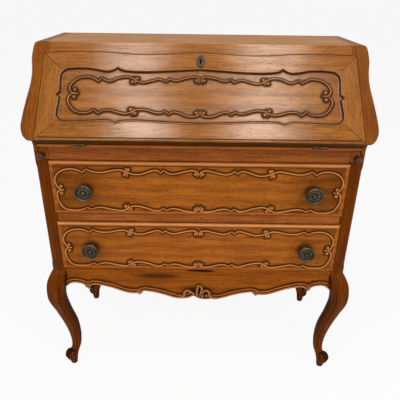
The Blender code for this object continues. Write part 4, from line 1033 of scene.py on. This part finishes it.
def leg(label, side, rear):
    name = f"{'rear' if rear else 'front'}_{label}_leg"
    sections = [(share * LEG_HEIGHT, outer * POST, inner * POST, roundness)
                for share, outer, inner, roundness in smooth(LEG_SECTIONS, 9)]
    stops = (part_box(name)[1].z, CHAMFER_HIGH, CHAMFER_HIGH - CHAMFER_STOP / 2, CHAMFER_HIGH - CHAMFER_STOP,
             CHAMFER_LOW + CHAMFER_STOP, CHAMFER_LOW + CHAMFER_STOP / 2, CHAMFER_LOW, POST_END)
    bm = bmesh.new()
    patina_and_painted_light = patina_and_light_layer(bm)
    rings = []
    for level, outer, inner, roundness in [(level, 0, 0, 0.0) for level in stops] + sections:
        half = (POST + outer - inner) / 2
        middle = CASE_HALF - POST / 2 + (outer + inner) / 2
        half_depth = min(half, POST / 2) if rear else half
        depth_middle = CASE_DEPTH - POST / 2 if rear else POST / 2 - (outer + inner) / 2
        strength = 0.0 if rear else max(0.0, min(1.0, (STRIP_TOP - level) / STRIP_TOP_FADE,
                                                 (level - STRIP_FOOT) / STRIP_FOOT_FADE))
        ring = []
        for angle in leg_angles():
            across, along = math.cos(angle), math.sin(angle)
            reach = roundness + (1 - roundness) / max(abs(across), abs(along))
            if not rear and across > 0 > along:
                reach = min(reach, (2 * half - chamfer_at(level)) / half / (across - along))
            lift, grime_and_painted_light = 0.0, 0.0
            # Along the inner front corner the groove is dark, which is painted shade and old wax, and the strip
            # beside it pale, which is wear and a painted highlight.
            if strength > 0:
                run = (angle - CORNER) * half * 1.25 / MM
                groove = math.exp(-((run - GROOVE_RUN) / GROOVE_WIDTH) ** 2)
                strip = math.exp(-((run - STRIP_RUN) / STRIP_WIDTH) ** 2)
                lift = strength * (strip * STRIP_RISE - groove * GROOVE_DEPTH) * MM
                grime_and_painted_light = strength * max(groove, -0.45 * strip)
            # Painted shade on the leg's inner side below the case, deepest towards the middle and the back.
            if level < SHADE_TOP and across < 0:
                grime_and_painted_light = max(grime_and_painted_light, 0.70 * across ** 2, 0.4 * max(0.0, along) ** 2)
            x = side * (middle + (half * reach + lift) * across)
            vert = bm.verts.new((x, FRONT_Y + depth_middle + (half_depth * reach + lift) * along, level))
            vert[patina_and_painted_light] = grime_and_painted_light
            ring.append(vert)
        rings.append(ring)
    bridge(bm, rings)
    made = piece(name + "_carved", bm, "case", UPRIGHT, (name,), sharp=40.0)
    if not rear:
        guide_low, guide_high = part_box(f"{label}_loper")
        low = Vector((guide_low.x - HOLE_GAP, FRONT_Y - HOLE_DEEPER, guide_low.z - HOLE_GAP))
        high = Vector((guide_high.x + HOLE_GAP, FRONT_Y + POST + HOLE_DEEPER, guide_high.z + HOLE_GAP))
        if side > 0:
            low.x -= HOLE_WIDER
        else:
            high.x += HOLE_WIDER
        bm = bmesh.new()
        bmesh.ops.create_cube(bm, size=1.0)
        bmesh.ops.scale(bm, vec=high - low, verts=bm.verts)
        bmesh.ops.translate(bm, vec=(low + high) / 2, verts=bm.verts)
        cut(made, bm)


def cut(made, bm):
    """Take a tool's shape out of a piece."""
    mesh = bpy.data.meshes.new("tool")
    bm.to_mesh(mesh)
    bm.free()
    tool = bpy.data.objects.new("tool", mesh)
    SCENE.collection.objects.link(tool)
    change = made.modifiers.new("cut", "BOOLEAN")
    change.operation = "DIFFERENCE"
    change.solver = "EXACT"
    change.object = tool
    bake(made)
    bpy.data.objects.remove(tool, do_unlink=True)


# Foot scroll, in millimetres from its middle: share of the radius and of the half length of its drum
DRUM = ((0.10, 1.0), (0.80, 1.0), (0.93, 0.93), (1.0, 0.72), (1.02, 0.0), (1.0, -0.72), (0.93, -0.93),
        (0.80, -1.0), (0.10, -1.0))
DRUM_RADIUS, DRUM_HALF, DRUM_POINTS, DRUM_DARKENING = 18.5, 11.5, 48, 0.85
DRUM_X, DRUM_BEHIND, DRUM_Z, DRUM_OUT = 0.4085, 0.0140, 0.0390, 0.0050
SPIRAL_TURNS, SPIRAL_STEPS, SPIRAL_START, SPIRAL_REACH, SPIRAL_FALL = 1.75, 69, 2.2, 15.6, 11.6


def foot_scroll(label, side, rear):
    """The roll of the foot: a short drum across the leg's diagonal, with a spiral on each end."""
    out = Vector((side, 0.0 if rear else -1.0, 0)).normalized()
    axis = Vector((0, -1, 0)) if rear else Vector((-side, -1.0, 0)).normalized()
    y = FRONT_Y + (CASE_DEPTH - POST / 2 if rear else DRUM_BEHIND)
    centre = Vector((side * DRUM_X, y, DRUM_Z)) + out * DRUM_OUT
    plane = Matrix.Translation(centre) @ Matrix((
        (out.x, 0, axis.x, 0), (out.y, 0, axis.y, 0), (0, 1, 0, 0), (0, 0, 0, 1)))
    bm = bmesh.new()
    patina_and_painted_light = patina_and_light_layer(bm)
    bridge(bm, [[bm.verts.new((DRUM_RADIUS * share * x, DRUM_RADIUS * share * y, DRUM_HALF * level))
                 for x, y in circle(DRUM_POINTS)] for share, level in DRUM])
    # The whole drum is made darker.
    for vert in bm.verts:
        vert[patina_and_painted_light] = DRUM_DARKENING
    spiral = []
    for step in range(SPIRAL_STEPS + 1):
        turn = SPIRAL_START - 2 * math.pi * SPIRAL_TURNS * step / SPIRAL_STEPS
        reach = SPIRAL_REACH - SPIRAL_FALL * step / SPIRAL_STEPS
        spiral.append((reach * math.cos(turn), reach * math.sin(turn)))
    for face in (1, -1):
        before = len(bm.verts)
        ridge(bm, spiral, 2.2, 3.0, DRUM_HALF - 0.4, (0.9, 0.7), 0.1, rub_and_highlight=0.12)
        ball(bm, 0.5, 0.5, 3.4, DRUM_HALF, rub_and_highlight=0.1)
        bm.verts.ensure_lookup_table()
        if face < 0:
            for vert in bm.verts[before:]:
                vert.co.z = -vert.co.z
    name = f"{'rear' if rear else 'front'}_{label}_foot_scroll"
    return carved(name, bm, "case", UPRIGHT, plane, sharp=50.0)


for label, side in SIDES:
    for rear in (False, True):
        leg(label, side, rear)
        foot_scroll(label, side, rear)


# Apron
APRON_EDGE_TOP = 342.0
softened("front_apron", APRON, 0.0010)


def apron_runs():
    """The apron's lower edge in millimetres, from left to right, cut where it turns a corner."""
    bm = copy_of("front_apron")
    front = broadest(bm, lambda normal: normal.y < -0.9)
    spots = [(vert.co.x / MM, vert.co.z / MM) for vert in front.verts]
    bm.free()
    low = [spot[1] < APRON_EDGE_TOP for spot in spots]
    start = next(at for at in range(len(spots)) if low[at] and not low[at - 1])
    line = [spots[(start + step) % len(spots)] for step in range(sum(low))]
    runs = [[line[0]]]
    for before, here, after in zip(line, line[1:], line[2:]):
        runs[-1].append(here)
        into, out = Vector(here) - Vector(before), Vector(after) - Vector(here)
        if into.angle(out) > math.radians(35):
            runs.append([here])
    runs[-1].append(line[-1])
    return [even(run, 1.2) for run in runs if len(run) > 1]


def inset_runs(runs, inset):
    """Lines a distance inside the edge, without the ends that come nearer to another run."""
    spots = [spot for run in runs for spot in run]
    made = []
    for run in runs:
        line = [(x + normal.x * inset, y + normal.y * inset)
                for (x, y), (normal, mitre) in zip(run, normals_of(run, False))]
        made.append([here for here in line if min(math.dist(here, spot) for spot in spots) > inset - 0.3])
    return [line for line in made if len(line) > 4]


# Edges of the apron: distance in, half width, height and section of each bead
APRON_BEADS = ((3.7, 3.7, 3.6, EDGE_BEAD), (12.9, 2.8, 3.2, INNER_BEAD))
APRON_CUSPS = ((327.0, 318.0), (175.0, 298.5))
APRON_LEAF = (((0, -4.5), (0, 7), (0, 18)), ((-6, 2), (-6.5, 8), (-4.2, 14)), ((6, 2), (6.5, 8), (4.2, 14)))
# Middle of the apron: its leaves and scroll, each with half width, height and size at its end; then berries
MOTIF = (
    (((-62, 286.5), (-50, 287.5), (-41, 292), (-41, 302), (-37.5, 310), (-31.5, 313), (-25.5, 309.5),
      (-27, 303.5)), 5.4, 6.0, 0.7),
    (((62, 284.5), (49, 285.5), (39, 289.5), (34.5, 297), (34.5, 305), (30, 311), (24.5, 313.5), (18.5, 311),
      (14, 304)), 5.8, 6.4, 0.8),
    (((-25, 311), (-17, 305), (-9.5, 297.5)), 6.0, 6.4, 0.5),
    (((-1.5, 291), (-3.0, 304), (-2.5, 316), (0, 327), (1.5, 333)), 5.6, 7.0, 0.6),
    (((5, 291), (9.5, 306), (12, 318), (10, 327), (5.5, 333)), 5.4, 6.8, 0.5),
    (((15, 284), (12.5, 291), (15, 299)), 5.4, 6.0, 0.5),
)
MOTIF_BERRIES = ((1.0, 330.0, 6.0), (25.5, 295.5, 6.4), (-34.5, 303.0, 3.4))
runs = apron_runs()
bm = bmesh.new()
for inset, half, height, section in APRON_BEADS:
    for line in inset_runs(runs, inset):
        ridge(bm, line, half, height, -0.2, (0.8, 0.8), 0.04, section=section)
for x, y in APRON_CUSPS:
    for side in (-1, 1):
        ball(bm, side * x, y + 8.0, 10.5, -0.2, 0.10, -0.75)
        for stroke in APRON_LEAF:
            line = [(side * x + across, y + up) for across, up in stroke]
            ridge(bm, even(smooth(line, 6), 1.2), 2.6, 5.0, 0.0, (0.6, 0.3), 0.5, rub_and_highlight=0.6)
for stroke, half, height, end in MOTIF:
    ridge(bm, even(smooth(stroke, 8), 1.2), half, height, 0.0, (0.5, end), 0.35, rub_and_highlight=0.55)
for x, y, radius in MOTIF_BERRIES:
    ball(bm, x, y, radius, 2.4, rub_and_highlight=0.3)
carved("apron_carving", bm, "case", APRON, front_plane(FRONT_Y))

# Leaf at the foot of each post's chamfer
STOP_LEAF = (((414.5, 396), (413.0, 405), (416.0, 414)), ((420.0, 397), (420.5, 406), (418.5, 413)))
bm = bmesh.new()
for turn in (mirrored, list):
    for stroke in STOP_LEAF:
        ridge(bm, turn(even(smooth(stroke, 6), 1.0)), 2.4, 2.2, -0.2, (0.5, 0.3), 0.5, rub_and_highlight=0.05)
carved("post_stop_leaves", bm, "case", KNOB_WOOD, front_plane(FRONT_Y))
